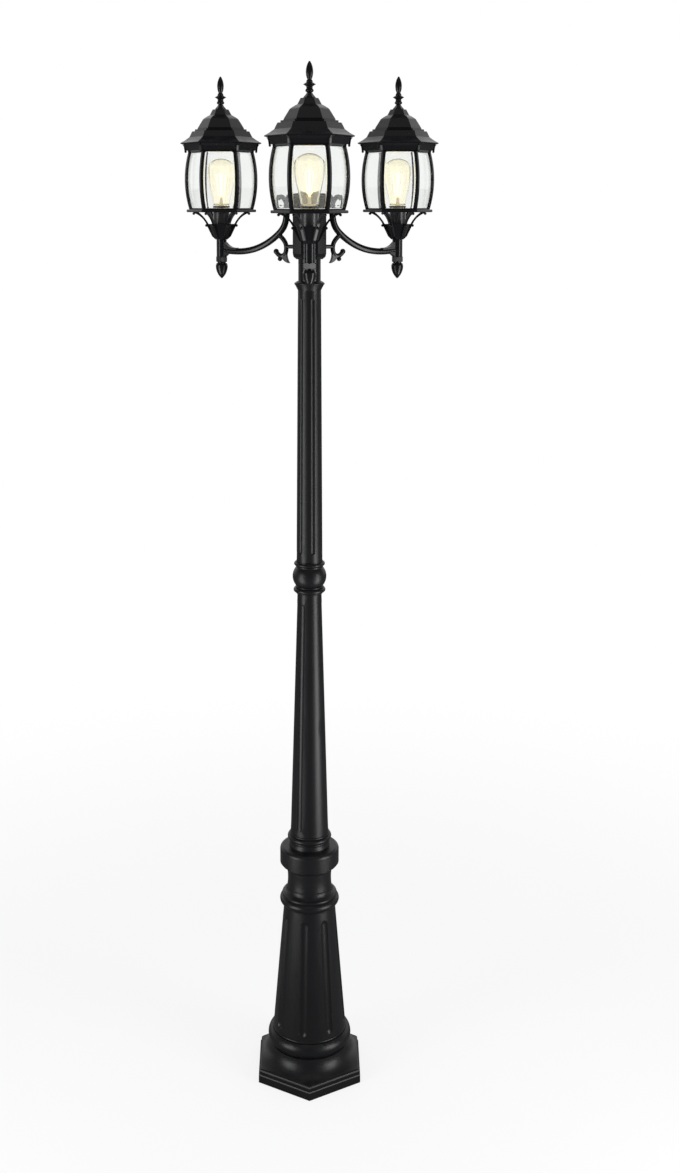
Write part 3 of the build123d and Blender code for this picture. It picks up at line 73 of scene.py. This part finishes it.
# where the lit rods start to glow, above the foot of their glass mount
GLOW_START_H = 0.024
GLOW_FULL_H = 0.032

# the photograph's height, and how far its post stands left of its middle, in pixels
PHOTO_H = 1173.0
POST_LEFT = 30.0
# how far the camera's frame is shifted to the right and up, as shares of its height
FRAME_RIGHT = POST_LEFT / PHOTO_H
FRAME_UP = -0.1853
SENSOR_WIDTH = 36.0  # mm

FLOOR_REACH = 30.0
FLOOR_DROP = 0.0005  # keeps the floor clear of the pedestal's underside
WHITE = (1.0, 1.0, 1.0)
DIM_FLOOR = (0.03, 0.03, 0.032)
DARK_STUDIO = (0.05, 0.05, 0.055)
SKY_FILL = (0.66, 0.66, 0.67)

DUST_COLOUR = (0.12, 0.118, 0.115)


# ---------------------------------------------------------------- settings
class LampCoatSettings(bpy.types.PropertyGroup):
    """The black powder coat of castings and pole."""

    colour: FloatVectorProperty(
        name="Coat colour", description="Colour of the powder coat", subtype="COLOR", size=3,
        min=0, max=1, default=(0.0048, 0.005, 0.0058),
    )
    roughness: FloatProperty(
        name="Coat roughness", description="0 is a mirror, 1 is chalk", subtype="FACTOR",
        min=0, max=1, default=0.24,
    )
    grain: FloatProperty(
        name="Orange peel", description="Height of the coat's fine ripple", subtype="DISTANCE",
        unit="LENGTH", min=0, max=0.001, default=0.000008,
    )
    shine: FloatProperty(
        name="Shine", description="Strength of the coat's reflections", subtype="FACTOR",
        min=0, max=1, default=0.3,
    )
    dust: FloatProperty(
        name="Dust", description="Pale dust on faces that look up", subtype="FACTOR",
        min=0, max=1, default=0.12,
    )


class LampGlazingSettings(bpy.types.PropertyGroup):
    """The bowed glass panes with ground edges."""

    tint: FloatVectorProperty(
        name="Glass tint", description="Colour of light through a pane", subtype="COLOR", size=3,
        min=0, max=1, default=(0.955, 0.966, 0.955),
    )
    bevel_width: FloatProperty(
        name="Bevel width", description="Width of a pane's ground border", subtype="DISTANCE",
        unit="LENGTH", min=0.001, max=0.02, default=0.0046,
    )
    bevel_depth: FloatProperty(
        name="Bevel depth", description="Glass taken off at a pane's edge", subtype="DISTANCE",
        unit="LENGTH", min=0, max=0.0025, default=0.0004,
    )
    rows: IntProperty(
        name="Rows", description="Steps along a pane's bow", min=4, max=80, default=28,
    )


class LampBulbSettings(bpy.types.PropertyGroup):
    """The screw-in bulbs."""

    glow_colour: FloatVectorProperty(
        name="Glow colour", description="Colour of the lit rods", subtype="COLOR", size=3,
        min=0, max=1, default=(1.0, 0.74, 0.36),
    )
    rod_strength: FloatProperty(
        name="Rod strength", description="Brightness of the lit rods", min=0, max=100, default=2.6,
    )
    haze_strength: FloatProperty(
        name="Haze strength", description="Glow in the bulb's glass", min=0, max=5, default=0.05,
    )


class LampStudioSettings(bpy.types.PropertyGroup):
    """Camera, lamps and floor."""

    distance: FloatProperty(
        name="Camera distance", description="From the post's axis to the camera, level",
        subtype="DISTANCE", unit="LENGTH", min=1, max=20, default=3.0,
    )
    height: FloatProperty(
        name="Camera height", description="Height of the camera above the floor",
        subtype="DISTANCE", unit="LENGTH", min=0, max=5, default=1.982,
    )
    pitch: FloatProperty(
        name="Pitch", description="How far the camera looks down", subtype="ANGLE",
        unit="ROTATION", min=-1, max=1, default=math.radians(6.83),
    )
    lens: FloatProperty(
        name="Lens", description="Focal length on a 36 mm sensor", subtype="DISTANCE_CAMERA",
        unit="CAMERA", min=10, max=300, default=42.56,
    )
    floor_colour: FloatVectorProperty(
        name="Floor colour", description="Colour of the floor", subtype="COLOR", size=3,
        min=0, max=1, default=(0.78, 0.78, 0.78),
    )


# ---------------------------------------------------------------- shader tools
class Signal:
    """A number in a shader. Sums, differences, products and abs on it add Math nodes."""

    def __init__(self, bench, socket):
        self.bench = bench
        self.socket = socket

    def _math(self, operation, first, second):
        node = self.bench.node("ShaderNodeMath", {"operation": operation}, {0: first, 1: second})
        return Signal(self.bench, node.outputs[0])

    def __add__(self, other):
        return self._math("ADD", self, other)

    def __radd__(self, other):
        return self._math("ADD", other, self)

    def __sub__(self, other):
        return self._math("SUBTRACT", self, other)

    def __rsub__(self, other):
        return self._math("SUBTRACT", other, self)

    def __mul__(self, other):
        return self._math("MULTIPLY", self, other)

    def __rmul__(self, other):
        return self._math("MULTIPLY", other, self)

    def __abs__(self):
        return self._math("ABSOLUTE", self, 0.0)

    def ramp(self, low, high):
        """0 below low, 1 above high, and smooth between."""
        values = {"Value": self, "From Min": low, "From Max": high}
        settings = {"interpolation_type": "SMOOTHSTEP"}
        node = self.bench.node("ShaderNodeMapRange", settings, values)
        return Signal(self.bench, node.outputs[0])


class Bench:
    """The node tree of one finish."""

    def __init__(self, tree):
        self.tree = tree
        tree.nodes.clear()

    def node(self, kind, settings=None, values=None):
        """Adds a node, applies its settings, and then sets or links its sockets."""
        node = self.tree.nodes.new(kind)
        for key, value in (settings or {}).items():
            setattr(node, key, value)
        for key, value in (values or {}).items():
            socket = node.inputs[key]
            if isinstance(value, Signal):
                self.tree.links.new(value.socket, socket)
            elif isinstance(value, bpy.types.NodeSocket):
                self.tree.links.new(value, socket)
            else:
                socket.default_value = value
        return node

    def place(self):
        """Position on the object at rest."""
        return self.node("ShaderNodeTexCoord").outputs["Object"]

    def noise(self, scale, detail=2.0, roughness=0.5, stretch=(1, 1, 1)):
        """Cloudy pattern from 0 to 1, with scale in features per metre."""
        moved = self.node("ShaderNodeMapping", None, {"Vector": self.place(), "Scale": stretch})
        values = {"Vector": moved.outputs[0], "Scale": scale, "Detail": detail, "Roughness": roughness}
        return Signal(self, self.node("ShaderNodeTexNoise", None, values).outputs["Fac"])

    def part_of(self, vector, axis):
        """One coordinate of a vector."""
        return Signal(self, self.node("ShaderNodeSeparateXYZ", None, {0: vector}).outputs[axis])

    def facing_up(self):
        """How far a surface looks up, from -1 to 1."""
        return self.part_of(self.node("ShaderNodeNewGeometry").outputs["Normal"], "Z")

    def ray(self, kind):
        """1 for a ray of this kind, such as Camera or Glossy, and 0 for any other."""
        return Signal(self, self.node("ShaderNodeLightPath").outputs[f"Is {kind} Ray"])

    def blend(self, share, first, second):
        """Colour that goes from first to second as share goes from 0 to 1."""
        # a Mix node's colour sockets are its seventh and eighth inputs and third output
        values = {0: share, 6: rgba(first), 7: rgba(second)}
        return self.node("ShaderNodeMix", {"data_type": "RGBA"}, values).outputs[2]

    def bump(self, height, distance, strength=1.0):
        """Normal of a surface raised by height, where a height of 1 is distance metres."""
        values = {"Height": height, "Distance": distance, "Strength": strength}
        return self.node("ShaderNodeBump", None, values).outputs[0]

    def surface(self, values):
        """Ends the tree in one Principled shader."""
        shader = self.node("ShaderNodeBsdfPrincipled", None, values)
        self.node("ShaderNodeOutputMaterial", None, {"Surface": shader.outputs[0]})


def rgba(colour):
    """A colour with full alpha, or the node socket that it comes from."""
    if isinstance(colour, bpy.types.NodeSocket):
        return colour
    return (*colour[:3], 1.0)


def finish(name):
    """A new material and the bench for its nodes."""
    material = bpy.data.materials.new(name)
    material.use_nodes = True
    return material, Bench(material.node_tree)


def shade(colour, factor):
    """A darker or lighter tone of a colour."""
    return tuple(min(1.0, channel * factor) for channel in colour[:3])


def dress(material, *names):
    """Gives CAD nodes a finish."""
    for name in names:
        obj = NODES[name]
        if not obj.material_slots:
            obj.data.materials.append(material)
        for slot in obj.material_slots:
            slot.link = "OBJECT"
            slot.material = material


# ---------------------------------------------------------------- finishes
def powder_coat(name, settings, tone, gloss, ripple):
    """Black powder coat with an orange-peel ripple, uneven gloss and dust on its ledges."""
    material, bench = finish(name)
    patches = bench.noise(7.0, 3.0, 0.55)
    specks = bench.noise(420.0, 2.0, 0.6)
    peel = bench.noise(900.0, 1.0, 0.4) * 0.7 + bench.noise(160.0, 2.0, 0.5) * ripple
    ledge = bench.facing_up().ramp(0.45, 0.98)
    film = ledge * bench.noise(38.0, 4.0, 0.62).ramp(0.32, 0.78) * settings.dust
    base = bench.blend(patches, shade(tone, 0.82), shade(tone, 1.2))
    base = bench.blend(specks.ramp(0.62, 0.8) * 0.35, base, shade(tone, 2.2))
    colour = bench.blend(film * 0.4, base, DUST_COLOUR)
    bench.surface({
        "Base Color": colour,
        "Roughness": patches * 0.1 + specks * 0.06 + film * 0.5 + (gloss - 0.08),
        "Specular IOR Level": settings.shine,
        "Normal": bench.bump(peel, settings.grain),
    })
    return material


def clear_glass(name, tint):
    """Pane glass, faintly green and smeared."""
    material, bench = finish(name)
    smear = bench.noise(26.0, 3.0, 0.6)
    bench.surface({
        "Base Color": bench.blend(smear, shade(tint, 1.0), shade(tint, 0.985)),
        "Roughness": smear.ramp(0.6, 0.9) * 0.006,
        "IOR": 1.45,
        "Transmission Weight": 1.0,
        "Specular IOR Level": 0.5,
    })
    return material


def bulb_glass(name, settings):
    """Clear warm glass with a faint glow."""
    material, bench = finish(name)
    amber = bench.noise(18.0, 2.0)
    bench.surface({
        "Base Color": bench.blend(amber, (0.985, 0.965, 0.86), (0.99, 0.975, 0.9)),
        "Roughness": 0.0,
        "IOR": 1.4,
        "Transmission Weight": 1.0,
        "Emission Color": bench.blend(amber, (1.0, 0.86, 0.56), (1.0, 0.9, 0.66)),
        "Emission Strength": settings.haze_strength,
    })
    return material


def lit_rods(name, settings):
    """Glass mount with rods that glow between two heights."""
    material, bench = finish(name)
    height = bench.part_of(bench.place(), "Z")
    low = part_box("front_bulb_filament")[0].z
    lit = height.ramp(low + GLOW_START_H, low + GLOW_FULL_H)
    glow = bench.blend(lit, (0.05, 0.045, 0.035), settings.glow_colour)
    bench.surface({
        "Base Color": bench.blend(bench.noise(300.0), (0.9, 0.82, 0.62), (0.98, 0.9, 0.72)),
        "Roughness": 0.25,
        "Emission Color": glow,
        "Emission Strength": settings.rod_strength,
    })
    return material


def bare_metal(name, colour, roughness, streak, stretch=(1, 1, 12)):
    """Plated or rolled metal with fine streaks and stains."""
    material, bench = finish(name)
    lines = bench.noise(260.0, 3.0, 0.6, stretch)
    stain = bench.noise(40.0, 3.0, 0.6).ramp(0.45, 0.85)
    plain = bench.blend(lines, shade(colour, 0.9), shade(colour, 1.08))
    bench.surface({
        "Base Color": bench.blend(stain * 0.5, plain, shade(colour, 0.6)),
        "Metallic": 1.0,
        "Roughness": lines * streak + stain * 0.12 + roughness,
        "Normal": bench.bump(lines, 0.00003, 0.5),
    })
    return material


def moulded(name, colour, roughness):
    """Moulded plastic with a fine texture."""
    material, bench = finish(name)
    cloud = bench.noise(60.0, 3.0)
    bench.surface({
        "Base Color": bench.blend(cloud, shade(colour, 0.92), shade(colour, 1.08)),
        "Roughness": cloud * 0.12 + (roughness - 0.06),
        "Specular IOR Level": 0.5,
        "Normal": bench.bump(bench.noise(1200.0, 1.0), 0.00002, 0.6),
    })
    return material


# ---------------------------------------------------------------- glazing
def mesh_object(name, mesh):
    """Puts a finished mesh into the scene as an object."""
    data = bpy.data.meshes.new(name)
    mesh.to_mesh(data)
    mesh.free()
    obj = bpy.data.objects.new(name, data)
    bpy.context.scene.collection.objects.link(obj)
    return obj


def bow(mid, end, low, high, height):
    """Distance of a bowed side at a height: end at low and high, and mid halfway."""
    rise, half = mid - end, (high - low) / 2
    radius = (half * half + rise * rise) / (2 * rise)
    return mid - radius + math.sqrt(radius * radius - (height - (low + high) / 2) ** 2)


def pane_rows(bottom, top, border, count):
    """Heights along a pane: its edges, its borders' inner edges, and even steps between."""
    inner = [bottom + border + (top - bottom - 2 * border) * k / count for k in range(count + 1)]
    return [bottom, *inner, top]


def pane_skin(mesh, grid, outer):
    """Faces over a grid of points. The outer skin is flat on its ground border, so that it shows."""
    last_row, last_column = len(grid) - 1, len(grid[0]) - 1
    for r in range(last_row):
        for c in range(last_column):
            quad = [grid[r][c], grid[r][c + 1], grid[r + 1][c + 1], grid[r + 1][c]]
            face = mesh.faces.new(quad if outer else quad[::-1])
            in_field = 0 < r < last_row - 1 and 0 < c < last_column - 1
            face.smooth = in_field or not outer


def pane_edge(mesh, front, back):
    """Narrow faces round a pane, between the outlines of its two skins."""
    last_row, last_column = len(front) - 1, len(front[0]) - 1
    loop = [(0, c) for c in range(last_column + 1)]
    loop += [(r, last_column) for r in range(1, last_row + 1)]
    loop += [(last_row, c) for c in range(last_column - 1, -1, -1)]
    loop += [(r, 0) for r in range(last_row - 1, 0, -1)]
    for (ra, ca), (rb, cb) in zip(loop, loop[1:] + loop[:1]):
        mesh.faces.new([front[ra][ca], back[ra][ca], back[rb][cb], front[rb][cb]])


def bevelled_panes(name, centre, base, settings):
    """Six bowed panes round a lantern's axis, each with a ground border on its outer face."""
    end = CAGE_END_R * FLAT_SHARE - PANE_INSET
    mid = CAGE_MID_R * FLAT_SHARE - PANE_INSET
    half_end = (end - PANE_T) * SIDE_SLOPE - PANE_SIDE_GAP
    half_mid = (mid - PANE_T) * SIDE_SLOPE - PANE_SIDE_GAP
    low, high = base + CAGE_BOTTOM_H, base + CAGE_TOP_H
    rows = pane_rows(low + PANE_BOTTOM_GAP, high - PANE_TOP_GAP, settings.bevel_width, settings.rows)
    mesh = bmesh.new()
    for side in range(6):
        turn = Matrix.Rotation(math.radians(30 + 60 * side), 4, "Z")
        outer, inner = [], []
        for index, height in enumerate(rows):
            out = bow(mid, end, low, high, height)
            half = bow(half_mid, half_end, low, high, height)
            field = half - settings.bevel_width
            across = (-half, -field, -field / 2, 0.0, field / 2, field, half)
            edge_row = index in (0, len(rows) - 1)
            for grid, inset, edge_inset in ((outer, 0.0, settings.bevel_depth), (inner, PANE_T, PANE_T)):
                line = []
                for x in across:
                    depth = edge_inset if edge_row or abs(x) == half else inset
                    point = turn @ Vector((out - depth, x, height))
                    line.append(mesh.verts.new(point + centre))
                grid.append(line)
        pane_skin(mesh, outer, True)
        pane_skin(mesh, inner, False)
        pane_edge(mesh, outer, inner)
    mesh.normal_update()
    return mesh_object(name, mesh)


# ---------------------------------------------------------------- operators
class LAMPPOST_OT_coat_pole(bpy.types.Operator):
    """Powder coat on pedestal, poles and knuckle"""

    bl_idname = "lamppost.coat_pole"
    bl_label = "Coat the Pole"

    def execute(self, context):
        coat = context.scene.lamp_coat
        tone = tuple(coat.colour)
        cast = powder_coat("pedestal coat", coat, tone, coat.roughness + 0.13, 0.8)
        drawn = powder_coat("pole coat", coat, tone, coat.roughness + 0.13, 0.35)
        dress(cast, "pedestal", "pole_knuckle")
        dress(drawn, "lower_pole", "upper_pole")
        return {"FINISHED"}


class LAMPPOST_OT_coat_head(bpy.types.Operator):
    """Powder coat on hub, arms and lantern castings"""

    bl_idname = "lamppost.coat_head"
    bl_label = "Coat the Head"

    def execute(self, context):
        coat = context.scene.lamp_coat
        tone = tuple(coat.colour)
        hub = powder_coat("hub coat", coat, tone, coat.roughness + 0.03, 0.6)
        arm = powder_coat("arm coat", coat, tone, coat.roughness - 0.02, 0.5)
        roof = powder_coat("roof coat", coat, tone, coat.roughness + 0.02, 0.6)
        frame_coat = powder_coat("cage coat", coat, tone, coat.roughness - 0.04, 0.4)
        dress(hub, "hub", "hub_cap")
        for side in SIDES:
            dress(arm, f"{side}_arm", f"{side}_acorn_nut")
            dress(roof, f"{side}_roof", f"{side}_roof_finial")
            dress(frame_coat, f"{side}_cage", f"{side}_tray", f"{side}_cradle")
        return {"FINISHED"}


class LAMPPOST_OT_glaze(bpy.types.Operator):
    """Bevelled panes in the three lanterns"""

    bl_idname = "lamppost.glaze"
    bl_label = "Glaze the Lanterns"

    def execute(self, context):
        settings = context.scene.lamp_glazing
        glass = clear_glass("pane glass", tuple(settings.tint))
        for side in SIDES:
            low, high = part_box(f"{side}_tray")
            centre = Vector(((low.x + high.x) / 2, (low.y + high.y) / 2, 0))
            panes = bevelled_panes(f"{side}_bevelled_panes", centre, low.z - TRAY_H, settings)
            panes.data.materials.append(glass)
            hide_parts(f"{side}_glass_panes")
            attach(panes, "post")
        return {"FINISHED"}


class LAMPPOST_OT_light_bulbs(bpy.types.Operator):
    """Glass, cap, tip and lit rods of the bulbs"""

    bl_idname = "lamppost.light_bulbs"
    bl_label = "Light the Bulbs"

    def execute(self, context):
        settings = context.scene.lamp_bulbs
        glass = bulb_glass("bulb glass", settings)
        rods = lit_rods("lit rods", settings)
        nickel = bare_metal("nickel cap", (0.72, 0.72, 0.7), 0.16, 0.1)
        solder = bare_metal("solder tip", (0.6, 0.58, 0.55), 0.3, 0.15)
        for side in SIDES:
            dress(glass, f"{side}_bulb_glass")
            dress(rods, f"{side}_bulb_filament")
            dress(nickel, f"{side}_bulb_cap")
            dress(solder, f"{side}_bulb_tip")
        return {"FINISHED"}


class LAMPPOST_OT_fit_holders(bpy.types.Operator):
    """Lampholders with their brass, and the terminal block"""

    bl_idname = "lamppost.fit_holders"
    bl_label = "Fit the Lampholders"

    def execute(self, context):
        body = moulded("lampholder body", (0.03, 0.03, 0.032), 0.32)
        block = moulded("terminal block", (0.82, 0.8, 0.74), 0.4)
        brass = bare_metal("contact brass", (0.8, 0.6, 0.28), 0.22, 0.14)
        dress(block, "terminal_block")
        dress(brass, "socket_contacts")
        for side in SIDES:
            dress(body, f"{side}_lampholder")
            dress(brass, f"{side}_socket_shell")
        return {"FINISHED"}


class LAMPPOST_OT_fasten(bpy.types.Operator):
    """Zinc-plated rod, nuts, nipples, screws and ground plate"""

    bl_idname = "lamppost.fasten"
    bl_label = "Finish the Fasteners"

    def execute(self, context):
        zinc = bare_metal("zinc plating", (0.62, 0.63, 0.64), 0.3, 0.16)
        plate = bare_metal("galvanised plate", (0.5, 0.51, 0.52), 0.42, 0.12, (1, 1, 1))
        dress(zinc, "tie_rod", "tie_rod_nut", "arm_fasteners")
        dress(plate, "anchor_plate")
        for side in SIDES:
            black = powder_coat(f"{side} screw coat", context.scene.lamp_coat, (0.02, 0.02, 0.02), 0.35, 0.2)
            dress(zinc, f"{side}_nipple")
            dress(black, f"{side}_roof_screws")
        return {"FINISHED"}


class LAMPPOST_OT_stage(bpy.types.Operator):
    """Floor, studio lamps, world and camera"""

    bl_idname = "lamppost.stage"
    bl_label = "Set the Stage"

    def execute(self, context):
        scene = context.scene
        settings = scene.lamp_studio
        self.floor(settings)
        self.sky(scene)
        # two tall panels that lean away from the post, near it at the floor, and one overhead
        tall = (0.7, 2.66)
        self.softbox("right softbox", place=(1.7, -1.06, 1.15), aim_height=2.7, size=tall, watts=44.0)
        self.softbox("left softbox", place=(-1.64, -1.15, 1.15), aim_height=2.7, size=tall, watts=35.0)
        self.softbox("top softbox", place=(0.2, -0.9, 4.2), aim_height=1.35, size=(2.4, 2.4), watts=6.0)
        self.camera(scene, settings)
        scene.view_settings.view_transform = "Standard"
        return {"FINISHED"}

    def floor(self, settings):
        """White where it is seen, with the post's shadow near it, and dark to gloss."""
        mesh = bmesh.new()
        bmesh.ops.create_grid(mesh, x_segments=8, y_segments=8, size=FLOOR_REACH)
        obj = mesh_object("studio_floor", mesh)
        material, bench = finish("studio floor")
        matt = bench.node("ShaderNodeBsdfDiffuse", None, {"Color": rgba(settings.floor_colour)})
        white = bench.node("ShaderNodeEmission", None, {"Color": rgba(WHITE), "Strength": 1.0})
        dim = bench.node("ShaderNodeEmission", None, {"Color": rgba(DIM_FLOOR), "Strength": 1.0})
        spot = bench.node("ShaderNodeVectorMath", {"operation": "LENGTH"}, {0: bench.place()})
        far = Signal(bench, spot.outputs["Value"]).ramp(0.5, 2.6)
        share = (bench.ray("Camera") + bench.ray("Transmission")) * (far * 0.2 + 0.8)
        seen = bench.node("ShaderNodeMixShader", None, {0: share, 1: matt.outputs[0], 2: white.outputs[0]})
        # a ray through the panes counts as glossy too, and it sees the white floor
        gloss = bench.ray("Glossy") * (1 - bench.ray("Transmission")) * 0.8
        whole = bench.node("ShaderNodeMixShader", None, {0: gloss, 1: seen.outputs[0], 2: dim.outputs[0]})
        bench.node("ShaderNodeOutputMaterial", None, {"Surface": whole.outputs[0]})
        obj.data.materials.append(material)
        obj.location.z = -FLOOR_DROP

    def sky(self, scene):
        """White to the camera and through glass. Gloss sees a studio that is dark on the camera's side."""
        world = bpy.data.worlds.new("studio")
        world.use_nodes = True
        bench = Bench(world.node_tree)
        way = bench.node("ShaderNodeTexCoord").outputs["Generated"]
        behind = bench.part_of(way, "Y") - abs(bench.part_of(way, "Z")) * 0.6
        studio = bench.blend(behind.ramp(-0.1, 0.65), DARK_STUDIO, WHITE)
        colour = bench.blend(bench.ray("Glossy"), SKY_FILL, studio)
        clear = (bench.ray("Camera") + bench.ray("Transmission")).ramp(0, 1)
        colour = bench.blend(clear, colour, WHITE)
        light = bench.node("ShaderNodeBackground", None, {"Color": colour, "Strength": 1.0})
        bench.node("ShaderNodeOutputWorld", None, {"Surface": light.outputs[0]})
        scene.world = world

    def softbox(self, name, place, aim_height, size, watts):
        """Panel lamp aimed at a height on the post's axis, unseen directly and through glass."""
        lamp = bpy.data.lights.new(name, "AREA")
        lamp.shape = "RECTANGLE"
        lamp.size, lamp.size_y = size
        lamp.energy = watts
        obj = bpy.data.objects.new(name, lamp)
        obj.location = place
        aim = Vector((0, 0, aim_height)) - Vector(place)
        obj.rotation_euler = aim.to_track_quat("-Z", "Y").to_euler()
        obj.visible_camera = False
        obj.visible_transmission = False
        bpy.context.scene.collection.objects.link(obj)

    def camera(self, scene, settings):
        """Camera in front of the post, a little above the lanterns' trays."""
        data = bpy.data.cameras.new("camera")
        data.sensor_width = SENSOR_WIDTH
        data.lens = settings.lens
        data.shift_x = FRAME_RIGHT
        data.shift_y = FRAME_UP
        obj = bpy.data.objects.new("camera", data)
        obj.location = (0, -settings.distance, settings.height)
        obj.rotation_euler = (math.pi / 2 - settings.pitch, 0, 0)
        scene.collection.objects.link(obj)
        scene.camera = obj


class LAMPPOST_PT_panel(bpy.types.Panel):
    """Buttons and settings of the lamp post"""

    bl_idname = "LAMPPOST_PT_panel"
    bl_label = "Lamp Post"
    bl_space_type = "VIEW_3D"
    bl_region_type = "UI"
    bl_category = "Lamp Post"

    def draw(self, context):
        layout = self.layout
        for name in SETTINGS:
            group = getattr(context.scene, name)
            box = layout.box()
            for key in group.__annotations__:
                box.prop(group, key)
        for operator in OPERATORS:
            layout.operator(operator.bl_idname)


SETTINGS = {
    "lamp_coat": LampCoatSettings,
    "lamp_glazing": LampGlazingSettings,
    "lamp_bulbs": LampBulbSettings,
    "lamp_studio": LampStudioSettings,
}
OPERATORS = (
    LAMPPOST_OT_stage,
    LAMPPOST_OT_coat_pole,
    LAMPPOST_OT_coat_head,
    LAMPPOST_OT_glaze,
    LAMPPOST_OT_light_bulbs,
    LAMPPOST_OT_fit_holders,
    LAMPPOST_OT_fasten,
)


def register():
    for name, group in SETTINGS.items():
        bpy.utils.register_class(group)
        setattr(bpy.types.Scene, name, PointerProperty(type=group))
    for item in (*OPERATORS, LAMPPOST_PT_panel):
        bpy.utils.register_class(item)


def unregister():
    for item in reversed((*OPERATORS, LAMPPOST_PT_panel)):
        bpy.utils.unregister_class(item)
    for name, group in reversed(SETTINGS.items()):
        delattr(bpy.types.Scene, name)
        bpy.utils.unregister_class(group)


def main():
    register()
    for operator in OPERATORS:
        group, name = operator.bl_idname.split(".")
        if getattr(getattr(bpy.ops, group), name)() != {"FINISHED"}:
            raise RuntimeError(f"{operator.bl_label} did not finish")


if __name__ == "__main__":
    main()
